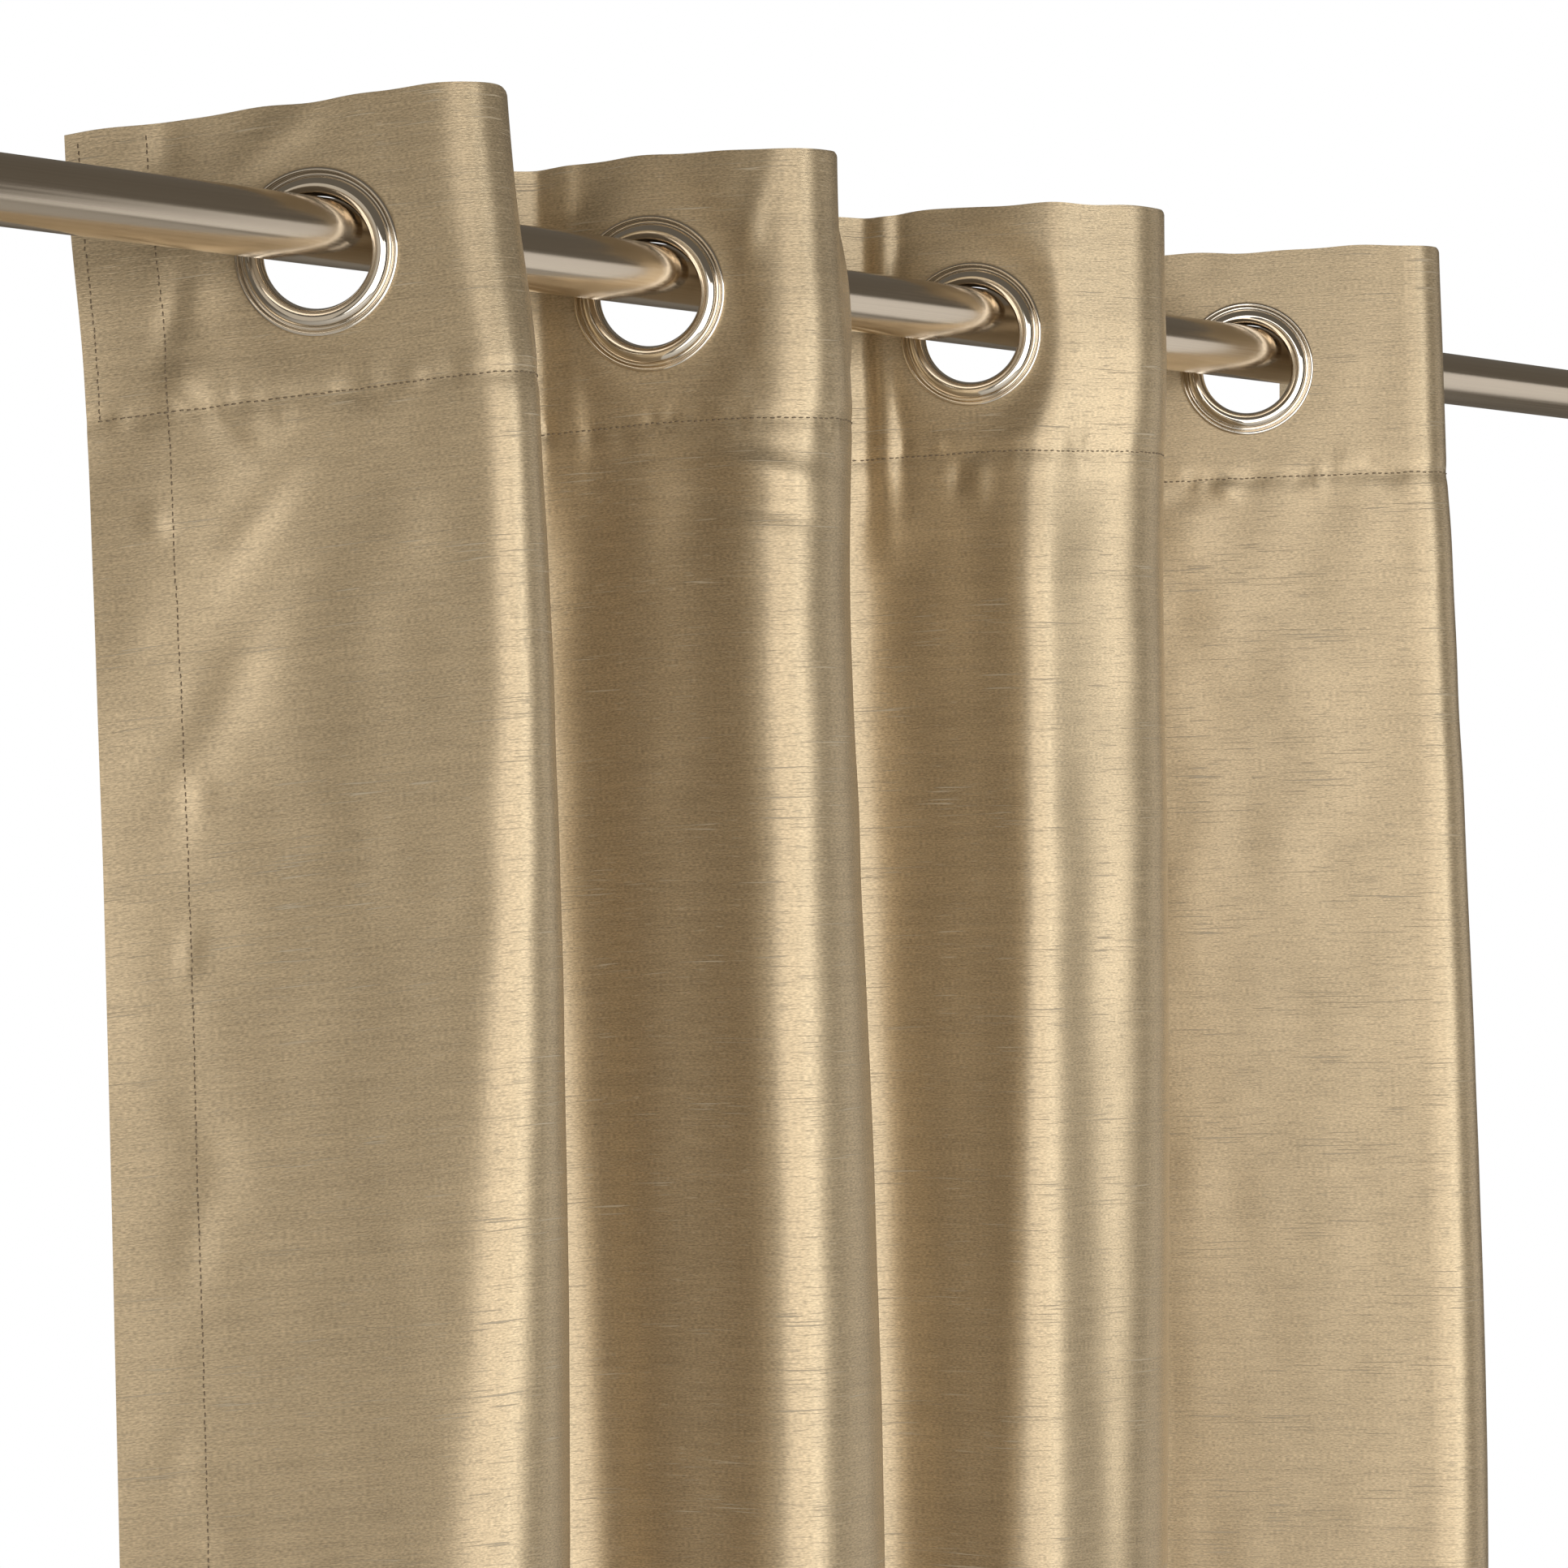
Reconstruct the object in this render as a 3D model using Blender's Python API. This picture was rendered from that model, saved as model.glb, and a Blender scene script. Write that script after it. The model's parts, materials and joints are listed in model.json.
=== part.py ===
"""An eyelet curtain panel hanging in pleats on a round rod, with the rod's two wall brackets.

The rod runs along +X, the wall is the plane Y = 0 and the room is on its -Y side. The origin is the
centre of the left wall plate's back face. The panel hangs in eight faces, one eyelet each, that zigzag
from a free edge near the wall to a free edge near the wall, with four folds at the front and three at
the back. Each face turns with its own empty, and the empties are chained, so that turning them draws
the curtain open or shut while every eyelet stays on the rod.
"""

from math import cos, pi, radians, sin, tan

import bmesh
import bpy
from mathutils import Matrix, Vector

MM = 0.001
CLEAR = 0.3 * MM  # left between pieces that touch

# Rod, bare metal tube
ROD_RADIUS = 12.5 * MM
ROD_WALL = 1.2 * MM
ROD_OUT = 120 * MM  # from the wall to the rod's axis
ROD_LEFT, ROD_RIGHT = -60 * MM, 1480 * MM
BRACKET_SPAN = 1420 * MM  # the left bracket is at X = 0

# Panel, as it hangs: flat faces with a rounded fold between each two
FACE_ANGLES = [radians(a) for a in (59, 60, 62, 63, 64, 61, 57, 58)]  # between each face and the rod
PITCHES = [p * MM for p in (90, 90, 103, 103, 104, 104, 100)]  # between eyelets, along the rod
FACES = len(FACE_ANGLES)
CLOTH_BETWEEN = 163 * MM  # flat cloth between eyelets
EDGE_MARGIN = 89 * MM  # flat cloth from an end eyelet to the free edge
EYELET_FIRST = 240 * MM  # from the left bracket to the first eyelet
EYELET_BELOW_ROD = 6.5 * MM  # the eyelet's centre hangs this far under the rod's axis
TOP_ABOVE_EYELET = 55 * MM
DROP = 2130 * MM
HEADER_DEPTH = 108 * MM
RELAXED_BY = 600 * MM  # the folds reach their fuller lower shape this far below the top
FULLER = 1.05  # more cloth in each lower fold than the header's
STEEPER = radians(4)  # and steeper faces
LEAN = 20 * MM  # how far the folds drift along the rod on the way down
LEAN_BY = 1050 * MM
HINGE_OUT = 50 * MM  # each fold turns about a vertical line this far from the rod's axis
FOLD_GAP = 6 * MM  # left open between faces, so that the solids can fold
HEM = 12 * MM  # closed cloth at a free edge, beside the header's pocket

# Layers of the header and the single cloth below it
HEADER_THICK = 2.6 * MM
CLOTH_THICK = 1.2 * MM
STIFFENER_THICK = 0.8 * MM
POCKET_THICK = STIFFENER_THICK + 2 * CLEAR
POCKET_MARGIN = 2.5 * MM

# Eyelet, a two-part ring pressed together through the cloth
EYELET_HOLE = 20.75 * MM
EYELET_RADIUS = 31 * MM
BARREL_RADIUS = 22.3 * MM
CLOTH_HOLE = BARREL_RADIUS + 2 * CLEAR
RING_STEPS = 20

# Wall brackets
PLATE_RADIUS, PLATE_THICK = 27 * MM, 5 * MM
BOSS_RADIUS, BOSS_LENGTH = 11 * MM, 11 * MM
SOCKET_FLOOR = 4 * MM
ARM_RADIUS = 6.5 * MM
CRADLE_WALL, CRADLE_WIDTH, CRADLE_RISE = 3.2 * MM, 16 * MM, 8 * MM
CRADLE_BOSS_RADIUS, CRADLE_BOSS_LENGTH = 8 * MM, 10 * MM
SPIGOT_RADIUS, SPIGOT_LENGTH = 5 * MM, 7 * MM
WALL_SCREW_OFFSET = 19 * MM
SCREW_HOLE, SCREW_SHANK, SCREW_HEAD, SCREW_SINK = 2.5 * MM, 2.1 * MM, 4.2 * MM, 2.4 * MM
GRUB_HOLE, GRUB_RADIUS = 1.8 * MM, 1.4 * MM
THUMB_SHANK, THUMB_HEAD, THUMB_HEAD_LENGTH = 2.0 * MM, 6.0 * MM, 6.0 * MM

# End caps of the rod
CAP_BORE_DEPTH = 14 * MM
CAP_COLLAR = 15 * MM

CLOTH_COLOUR = (0.42, 0.32, 0.20)
STIFFENER_COLOUR = (0.80, 0.78, 0.72)
CHROME_COLOUR = (0.75, 0.71, 0.66)
ROD_COLOUR = (0.52, 0.46, 0.40)
SCREW_COLOUR = (0.58, 0.56, 0.53)

X_AXIS, Y_AXIS, Z_AXIS = Vector((1, 0, 0)), Vector((0, 1, 0)), Vector((0, 0, 1))


def clear_scene():
    for thing in list(bpy.data.objects):
        bpy.data.objects.remove(thing)


def finish(name, colour, roughness, metallic):
    material = bpy.data.materials.new(name)
    material.use_nodes = True
    shader = material.node_tree.nodes["Principled BSDF"]
    shader.inputs["Base Color"].default_value = (*colour, 1)
    shader.inputs["Roughness"].default_value = roughness
    shader.inputs["Metallic"].default_value = metallic
    return material


def add_empty(name, location, parent=None):
    empty = bpy.data.objects.new(name, None)
    bpy.context.collection.objects.link(empty)
    empty.parent = parent
    empty.location = location
    return empty


def add_mesh(name, mesh, material, location=(0, 0, 0), parent=None, turn=None):
    """One sub-part, with its place given in its parent's space."""
    thing = bpy.data.objects.new(name, mesh)
    bpy.context.collection.objects.link(thing)
    thing.parent = parent
    thing.location = location
    if turn:
        thing.rotation_mode = "QUATERNION"
        thing.rotation_quaternion = turn
    if material:
        thing.data.materials.append(material)
    return thing


def mesh_from(bm, name, smooth_degrees=35):
    """A closed mesh with its faces turned outwards."""
    bmesh.ops.remove_doubles(bm, verts=bm.verts, dist=1e-6)
    bmesh.ops.recalc_face_normals(bm, faces=bm.faces)
    mesh = bpy.data.meshes.new(name)
    bm.to_mesh(mesh)
    bm.free()
    mesh.shade_smooth()
    mesh.set_sharp_from_angle(angle=radians(smooth_degrees))
    return mesh


def turned(name, outline, steps, closed=False):
    """The outline, as (radius, height) points, turned about Z. Closed gives a ring round a hole."""
    bm = bmesh.new()
    points = [bm.verts.new((radius, 0, height)) for radius, height in outline]
    pairs = list(zip(points, points[1:]))
    if closed:
        pairs.append((points[-1], points[0]))
    edges = [bm.edges.new(pair) for pair in pairs]
    bmesh.ops.spin(bm, geom=points + edges, cent=(0, 0, 0), axis=Z_AXIS, angle=2 * pi, steps=steps)
    bmesh.ops.remove_doubles(bm, verts=bm.verts, dist=1e-6)
    bmesh.ops.dissolve_degenerate(bm, edges=bm.edges, dist=1e-6)
    return mesh_from(bm, name)


def rod_like(name, radius, low, high, steps=24, chamfer=0.0):
    """A plain turned pin along Z, from low to high, with chamfered ends."""
    outline = [(0, low), (radius - chamfer, low), (radius, low + chamfer)]
    outline += [(radius, high - chamfer), (radius - chamfer, high), (0, high)]
    return turned(name, outline, steps)


def combine(target, cutter, operation):
    """A Boolean on target. The cutter is a guide, and is left out of the part."""
    cutter.hide_render = True
    cutter.display_type = "WIRE"
    step = target.modifiers.new(operation.lower(), "BOOLEAN")
    step.operation = operation
    step.solver = "EXACT"
    step.object = cutter


def share_between(value, start, end):
    return min(max((value - start) / (end - start), 0.0), 1.0)


def eased(value):
    return value * value * (3 - 2 * value)


# ---- The panel's shape -------------------------------------------------------------------------


def fold_radius(number, fuller, steeper):
    """Radius of the fold after face number, from the cloth that lies between the two eyelets."""
    left, right = (FACE_ANGLES[number - 1 + side] + steeper for side in (0, 1))
    corner_out = PITCHES[number - 1] / (1 / tan(left) + 1 / tan(right))
    sharp = corner_out * (1 / sin(left) + 1 / sin(right))
    turn = left + right
    return (sharp - CLOTH_BETWEEN * fuller) / (2 * tan(turn / 2) - turn)


def half_face(number, side, fuller, steeper):
    """Angle, straight stretch and fold radius on one side (-1 or 1) of a face's eyelet."""
    angle = FACE_ANGLES[number - 1] + steeper
    fold = number if side > 0 else number - 1
    if fold in (0, FACES):
        return angle, EDGE_MARGIN, 0.0
    other = FACE_ANGLES[number - 1 + side] + steeper
    radius = fold_radius(fold, fuller, steeper)
    corner_out = PITCHES[fold - 1] / (1 / tan(angle) + 1 / tan(other))
    return angle, corner_out / sin(angle) - radius * tan((angle + other) / 2), radius


def face_plan(number, share, fuller=1.0, steeper=0.0):
    """Plan place, from the eyelet, at share of the way to the next fold's tip (1) or the last one's (-1)."""
    side = 1 if share > 0 else -1
    angle, straight, radius = half_face(number, side, fuller, steeper)
    run = abs(share) * (straight + radius * angle)
    if run <= straight or radius == 0:
        return Vector((side * run * cos(angle), -side * run * sin(angle)))
    turn = angle - (run - straight) / radius
    along = straight * cos(angle) + radius * (sin(angle) - sin(turn))
    out = straight * sin(angle) + radius * (cos(turn) - cos(angle))
    return Vector((side * along, -side * out))


def cloth_plan(number, share, down):
    """Plan place of the cloth's middle layer on face number, at a distance down from the top."""
    relaxed = eased(share_between(down, HEADER_DEPTH, RELAXED_BY))
    plan = face_plan(number, share).lerp(face_plan(number, share, FULLER, STEEPER), relaxed)
    plan.x += LEAN * (1 - (1 - share_between(down, HEADER_DEPTH, LEAN_BY)) ** 2)
    if number % 2 == 0:
        plan.y = -plan.y
    return plan


def eyelet_place(number):
    return Vector((EYELET_FIRST + sum(PITCHES[: number - 1]), -ROD_OUT, -EYELET_BELOW_ROD))


def fold_place(number):
    """The vertical line that the fold after face number turns about, midway between two eyelets."""
    out = HINGE_OUT if number % 2 else -HINGE_OUT
    return Vector((eyelet_place(number).x + PITCHES[number - 1] / 2, -ROD_OUT - out, 0))


def face_direction(number):
    """Unit vector along face number, level, from its left side to its right."""
    angle = FACE_ANGLES[number - 1]
    return Vector((cos(angle), -sin(angle) if number % 2 else sin(angle), 0))


def shares_of(number, inset=0.0):
    """Places across a face: few on the flat, more round each fold. Inset shortens a free side."""
    places = [-0.4, 0.0, 0.4]
    for side in (-1, 1):
        angle, straight, radius = half_face(number, side, 1.0, 0.0)
        whole = straight + radius * angle
        flat, tip = straight / whole, 1 - FOLD_GAP / 2 / whole
        steps = [1 - inset / whole] if radius == 0 else [flat + (tip - flat) * i / 3 for i in range(4)]
        places = [-share for share in reversed(steps)] + places if side < 0 else places + steps
    return places


def slab(name, number, shares, rows):
    """A curved slab that follows face number. Rows are (down, thickness) from the top to the bottom."""
    bm = bmesh.new()
    origin = eyelet_place(number)
    top = origin.z + TOP_ABOVE_EYELET
    sheets = []
    for side in (-0.5, 0.5):
        sheet = []
        for down, thick in rows:
            line = []
            for share in shares:
                place = cloth_plan(number, share, down)
                ahead = cloth_plan(number, share + 0.002, down) - cloth_plan(number, share - 0.002, down)
                ahead.normalize()
                place += side * thick * Vector((ahead.y, -ahead.x))
                line.append(bm.verts.new((origin.x + place.x, origin.y + place.y, top - down)))
            sheet.append(line)
        sheets.append(sheet)
    back, front = sheets
    last_row, last_column = len(rows) - 1, len(shares) - 1
    for i in range(last_row):
        for j in range(last_column):
            for sheet in sheets:
                bm.faces.new((sheet[i][j], sheet[i][j + 1], sheet[i + 1][j + 1], sheet[i + 1][j]))
    for i in range(last_row):
        for j in (0, last_column):
            bm.faces.new((back[i][j], back[i + 1][j], front[i + 1][j], front[i][j]))
    for j in range(last_column):
        for i in (0, last_row):
            bm.faces.new((back[i][j], back[i][j + 1], front[i][j + 1], front[i][j]))
    return mesh_from(bm, name, 60)


# ---- The panel's pieces ------------------------------------------------------------------------


def eyelet_turn(number):
    """Turns a piece made along Z so that its front, +Z, leaves the cloth on the room side."""
    along = face_direction(number)
    outward = Vector((along.y, -along.x, 0))
    return Matrix((along, Vector((0, 0, 1)), outward)).transposed().to_quaternion()


def cut_eyelet_hole(target, number, anchor):
    hole = add_mesh(
        f"hole_guide_{target.name}",
        rod_like("hole_guide", CLOTH_HOLE, -8 * MM, 8 * MM, RING_STEPS),
        None,
        eyelet_place(number) - anchor.matrix_world.translation,
        anchor,
        eyelet_turn(number),
    )
    combine(target, hole, "DIFFERENCE")


def make_cloth(number, anchor, material):
    """One pleat face: a doubled header with an open-ended pocket, and the single cloth below it."""
    rows = [(0, HEADER_THICK), (HEADER_DEPTH, HEADER_THICK), (HEADER_DEPTH + 2 * MM, CLOTH_THICK)]
    for down in (250 * MM, 400 * MM, RELAXED_BY, 800 * MM, LEAN_BY, DROP):
        rows.append((down, CLOTH_THICK))
    offset = -anchor.matrix_world.translation
    mesh = slab("cloth", number, shares_of(number), rows)
    cloth = add_mesh(f"cloth_face_{number}", mesh, material, offset, anchor)
    wide = shares_of(number, HEM)
    if number > 1:
        wide.insert(0, wide[0] - 0.05)
    if number < FACES:
        wide.append(wide[-1] + 0.05)
    pocket_rows = [(POCKET_MARGIN, POCKET_THICK), (HEADER_DEPTH - POCKET_MARGIN, POCKET_THICK)]
    mesh = slab("pocket_guide", number, wide, pocket_rows)
    combine(cloth, add_mesh(f"pocket_guide_{number}", mesh, None, offset, anchor), "DIFFERENCE")
    cut_eyelet_hole(cloth, number, anchor)


def make_stiffener(number, anchor, material):
    """The strip of stiff tape inside the header, which keeps it upright between the eyelets."""
    margin = POCKET_MARGIN + CLEAR
    rows = [(margin, STIFFENER_THICK), (HEADER_DEPTH - margin, STIFFENER_THICK)]
    mesh = slab("header_tape", number, shares_of(number, HEM + 1 * MM), rows)
    offset = -anchor.matrix_world.translation
    tape = add_mesh(f"header_tape_{number}", mesh, material, offset, anchor)
    cut_eyelet_hole(tape, number, anchor)


def eyelet_front_mesh():
    """Show side of the eyelet: an outer bead, a groove, a full roll into the hole, and the barrel."""
    seat = HEADER_THICK / 2 + CLEAR
    tail = -seat - 2.2 * MM
    outline = [(BARREL_RADIUS, seat), (EYELET_RADIUS, seat), (EYELET_RADIUS - 0.4 * MM, seat + 1.5 * MM)]
    outline += [(28.3 * MM, seat + 1.2 * MM), (26.2 * MM, seat + 3.0 * MM), (23.9 * MM, seat + 3.3 * MM)]
    outline += [(21.6 * MM, seat + 1.6 * MM), (EYELET_HOLE, seat - 1 * MM), (EYELET_HOLE, 1 * MM - seat)]
    outline += [(EYELET_HOLE + 0.7 * MM, -seat - 1 * MM), (BARREL_RADIUS - 0.1 * MM, tail), (BARREL_RADIUS, tail)]
    return turned("eyelet_front", outline, RING_STEPS, closed=True)


def eyelet_back_mesh():
    """Lining side of the eyelet: a shallow domed washer that snaps round the barrel."""
    seat = -HEADER_THICK / 2 - CLEAR
    inner = BARREL_RADIUS + CLEAR
    outline = [(inner, seat), (inner, seat - 2.2 * MM), (26.0 * MM, seat - 2.4 * MM)]
    outline += [(EYELET_RADIUS, seat - 0.8 * MM), (EYELET_RADIUS, seat)]
    return turned("eyelet_back", outline, RING_STEPS, closed=True)


def make_panel(rod_axis):
    """The eight faces, each on its own empty, chained from the first eyelet."""
    cloth = finish("taupe satin cloth", CLOTH_COLOUR, 0.45, 0.0)
    tape = finish("stiff header tape", STIFFENER_COLOUR, 0.9, 0.0)
    chrome = finish("polished eyelet metal", CHROME_COLOUR, 0.08, 1.0)
    front, back = eyelet_front_mesh(), eyelet_back_mesh()
    parent = rod_axis
    for number in range(1, FACES + 1):
        place = Vector((EYELET_FIRST, -ROD_OUT, 0)) if number == 1 else fold_place(number - 1)
        anchor = add_empty(f"face_{number}_axis", place - parent.matrix_world.translation, parent)
        bpy.context.view_layer.update()
        make_cloth(number, anchor, cloth)
        make_stiffener(number, anchor, tape)
        centre, turn = eyelet_place(number) - place, eyelet_turn(number)
        add_mesh(f"eyelet_front_{number}", front.copy(), chrome, centre, anchor, turn)
        add_mesh(f"eyelet_back_{number}", back.copy(), chrome, centre, anchor, turn)
        parent = anchor


# ---- The rod and what holds it -----------------------------------------------------------------


def make_rod(rod_axis, material):
    outline = [(ROD_RADIUS - ROD_WALL, ROD_LEFT), (ROD_RADIUS, ROD_LEFT)]
    outline += [(ROD_RADIUS, ROD_RIGHT), (ROD_RADIUS - ROD_WALL, ROD_RIGHT)]
    along = Z_AXIS.rotation_difference(X_AXIS)
    add_mesh("rod_tube", turned("rod_tube", outline, 48, closed=True), material, (0, 0, 0), rod_axis, along)


def make_end_cap(side, rod_axis, metal, screw_metal):
    """A turned cap whose collar slips over the rod's end, and the grub screw that locks it."""
    bore = ROD_RADIUS + CLEAR
    outline = [(bore, 0), (CAP_COLLAR, 0), (CAP_COLLAR, 15 * MM), (13 * MM, 18 * MM), (16.5 * MM, 23 * MM)]
    outline += [(18.5 * MM, 31 * MM), (16.5 * MM, 39 * MM), (10 * MM, 45 * MM), (0, 47 * MM)]
    outline += [(0, CAP_BORE_DEPTH), (bore, CAP_BORE_DEPTH)]
    outline.append(outline[0])
    outward = Vector((-1, 0, 0)) if side == "left" else X_AXIS
    mouth = ROD_LEFT + CAP_BORE_DEPTH - CLEAR if side == "left" else ROD_RIGHT - CAP_BORE_DEPTH + CLEAR
    along = Z_AXIS.rotation_difference(outward)
    cap = add_mesh(f"end_cap_{side}", turned("end_cap", outline, 24), metal, (mouth, 0, 0), rod_axis, along)
    screw_x = mouth + outward.x * CAP_BORE_DEPTH / 2
    hole = add_mesh(
        f"cap_hole_guide_{side}", rod_like("cap_hole_guide", GRUB_HOLE, -18 * MM, -8 * MM, 16), None,
        (screw_x, 0, 0), rod_axis,
    )
    combine(cap, hole, "DIFFERENCE")
    screw = rod_like("end_cap_screw", GRUB_RADIUS, -CAP_COLLAR + CLEAR, -ROD_RADIUS - CLEAR, 12)
    add_mesh(f"end_cap_screw_{side}", screw, screw_metal, (screw_x, 0, 0), rod_axis)


def make_wall_plate(side, bracket, metal):
    """A round plate with a boss and a blind socket for the arm, and two countersunk holes."""
    mouth = PLATE_THICK + BOSS_LENGTH
    outline = [(0, 0), (PLATE_RADIUS, 0), (PLATE_RADIUS, PLATE_THICK - 2 * MM)]
    outline += [(PLATE_RADIUS - 0.6 * MM, PLATE_THICK - 0.6 * MM), (PLATE_RADIUS - 2 * MM, PLATE_THICK)]
    outline += [(BOSS_RADIUS + 1.5 * MM, PLATE_THICK), (BOSS_RADIUS, PLATE_THICK + 1.5 * MM)]
    outline += [(BOSS_RADIUS, mouth - 1 * MM), (BOSS_RADIUS - 1 * MM, mouth)]
    outline += [(ARM_RADIUS + CLEAR, mouth), (ARM_RADIUS + CLEAR, SOCKET_FLOOR), (0, SOCKET_FLOOR)]
    into_room = Z_AXIS.rotation_difference(-Y_AXIS)
    plate = add_mesh(f"wall_plate_{side}", turned("wall_plate", outline, 28), metal, (0, 0, 0), bracket, into_room)
    sunk = [(0, -3 * MM), (SCREW_HOLE, -3 * MM), (SCREW_HOLE, PLATE_THICK - SCREW_SINK)]
    sunk += [(SCREW_HEAD + 2 * CLEAR, PLATE_THICK), (SCREW_HEAD + 2 * CLEAR, PLATE_THICK + 3 * MM)]
    sunk += [(0, PLATE_THICK + 3 * MM)]
    for number, up in enumerate((WALL_SCREW_OFFSET, -WALL_SCREW_OFFSET), 1):
        hole = add_mesh(
            f"plate_hole_guide_{side}_{number}", turned("plate_hole_guide", sunk, 20), None,
            (0, 0, up), bracket, into_room,
        )
        combine(plate, hole, "DIFFERENCE")
    grub_y = -PLATE_THICK - BOSS_LENGTH / 2
    hole = add_mesh(
        f"boss_hole_guide_{side}", rod_like("boss_hole_guide", GRUB_HOLE, -14 * MM, -5 * MM, 16), None,
        (0, grub_y, 0), bracket,
    )
    combine(plate, hole, "DIFFERENCE")
    return grub_y


def make_wall_screws(side, bracket, metal):
    """Countersunk screws with a cross recess. Their shanks are drawn only as far as the wall."""
    top = PLATE_THICK - 0.3 * MM
    neck = PLATE_THICK - SCREW_SINK
    outline = [(0, CLEAR), (SCREW_SHANK, CLEAR), (SCREW_SHANK, neck), (SCREW_HEAD, top), (0, top)]
    into_room = Z_AXIS.rotation_difference(-Y_AXIS)
    for number, up in enumerate((WALL_SCREW_OFFSET, -WALL_SCREW_OFFSET), 1):
        screw = add_mesh(
            f"wall_screw_{side}_{number}", turned("wall_screw", outline, 20), metal, (0, 0, up), bracket, into_room
        )
        for name, size in (("flat", (4.4 * MM, 0.9 * MM)), ("upright", (0.9 * MM, 4.4 * MM))):
            bm = bmesh.new()
            scale = Matrix.Diagonal((size[0], 2 * MM, size[1], 1))
            bmesh.ops.create_cube(bm, size=1, matrix=Matrix.Translation((0, -top, up)) @ scale)
            guide = mesh_from(bm, "recess_guide")
            combine(screw, add_mesh(f"recess_guide_{side}_{number}_{name}", guide, None, (0, 0, 0), bracket), "DIFFERENCE")


def make_cradle(side, bracket, metal):
    """A U-shaped cup, open at the top, that the rod drops into, with a boss for the arm."""
    inner = ROD_RADIUS + CLEAR
    outer = inner + CRADLE_WALL
    arcs = 12
    section = [(outer, CRADLE_RISE)]
    section += [(outer * cos(pi * i / arcs), -outer * sin(pi * i / arcs)) for i in range(arcs + 1)]
    section += [(-outer, CRADLE_RISE), (-inner, CRADLE_RISE)]
    section += [(-inner * cos(pi * i / arcs), -inner * sin(pi * i / arcs)) for i in range(arcs + 1)]
    section += [(inner, CRADLE_RISE)]
    bm = bmesh.new()
    half = CRADLE_WIDTH / 2
    start = bm.faces.new([bm.verts.new((-half, y, z)) for y, z in section])
    grown = bmesh.ops.extrude_face_region(bm, geom=[start])["geom"]
    moved = [item for item in grown if isinstance(item, bmesh.types.BMVert)]
    bmesh.ops.translate(bm, verts=moved, vec=(CRADLE_WIDTH, 0, 0))
    cradle = add_mesh(f"rod_cradle_{side}", mesh_from(bm, "rod_cradle"), metal, (0, -ROD_OUT, 0), bracket)

    to_wall = Z_AXIS.rotation_difference(Y_AXIS)
    back = outer + CRADLE_BOSS_LENGTH
    boss = rod_like("cradle_boss_guide", CRADLE_BOSS_RADIUS, inner + 1 * MM, back, 28, 1 * MM)
    combine(cradle, add_mesh(f"cradle_boss_guide_{side}", boss, None, (0, -ROD_OUT, 0), bracket, to_wall), "UNION")
    socket = rod_like("cradle_socket_guide", SPIGOT_RADIUS + CLEAR, back - SPIGOT_LENGTH - CLEAR, back + 3 * MM, 20)
    guide = add_mesh(f"cradle_socket_guide_{side}", socket, None, (0, -ROD_OUT, 0), bracket, to_wall)
    combine(cradle, guide, "DIFFERENCE")
    hole = rod_like("cradle_hole_guide", THUMB_SHANK + CLEAR, -outer - 3 * MM, -inner + 3 * MM, 16)
    guide = add_mesh(f"cradle_hole_guide_{side}", hole, None, (0, -ROD_OUT, 0), bracket, to_wall)
    combine(cradle, guide, "DIFFERENCE")
    return outer, back


def make_arm(side, bracket, metal, cradle_back):
    """A turned arm: its plain end sits in the plate's socket, its spigot in the cradle."""
    start = SOCKET_FLOOR + CLEAR
    shoulder = ROD_OUT - cradle_back - CLEAR
    outline = [(0, start), (ARM_RADIUS - 0.8 * MM, start), (ARM_RADIUS, start + 0.8 * MM)]
    outline += [(ARM_RADIUS, shoulder - 1 * MM), (ARM_RADIUS - 1 * MM, shoulder), (SPIGOT_RADIUS, shoulder)]
    outline += [(SPIGOT_RADIUS, shoulder + SPIGOT_LENGTH), (0, shoulder + SPIGOT_LENGTH)]
    into_room = Z_AXIS.rotation_difference(-Y_AXIS)
    add_mesh(f"bracket_arm_{side}", turned("bracket_arm", outline, 24), metal, (0, 0, 0), bracket, into_room)


def make_thumb_screw(side, bracket, metal, cradle_outer):
    """Clamps the rod in its cradle from the room side."""
    tip, seat = ROD_RADIUS + CLEAR, cradle_outer + CLEAR
    end = seat + THUMB_HEAD_LENGTH
    outline = [(0, tip), (THUMB_SHANK, tip), (THUMB_SHANK, seat), (THUMB_HEAD - 0.8 * MM, seat)]
    outline += [(THUMB_HEAD, seat + 0.8 * MM), (THUMB_HEAD, end - 1 * MM), (THUMB_HEAD - 1 * MM, end), (0, end)]
    into_room = Z_AXIS.rotation_difference(-Y_AXIS)
    mesh = turned("rod_screw", outline, 24)
    add_mesh(f"rod_screw_{side}", mesh, metal, (0, -ROD_OUT, 0), bracket, into_room)


def make_bracket(side, x, metal, screw_metal):
    bracket = add_empty(f"bracket_{side}", (x, 0, 0))
    grub_y = make_wall_plate(side, bracket, metal)
    make_wall_screws(side, bracket, screw_metal)
    cradle_outer, cradle_back = make_cradle(side, bracket, metal)
    make_arm(side, bracket, metal, cradle_back)
    make_thumb_screw(side, bracket, metal, cradle_outer)
    grub = rod_like("arm_screw", GRUB_RADIUS, -BOSS_RADIUS + CLEAR, -ARM_RADIUS - CLEAR, 12)
    add_mesh(f"arm_screw_{side}", grub, screw_metal, (0, grub_y, 0), bracket)


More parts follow.
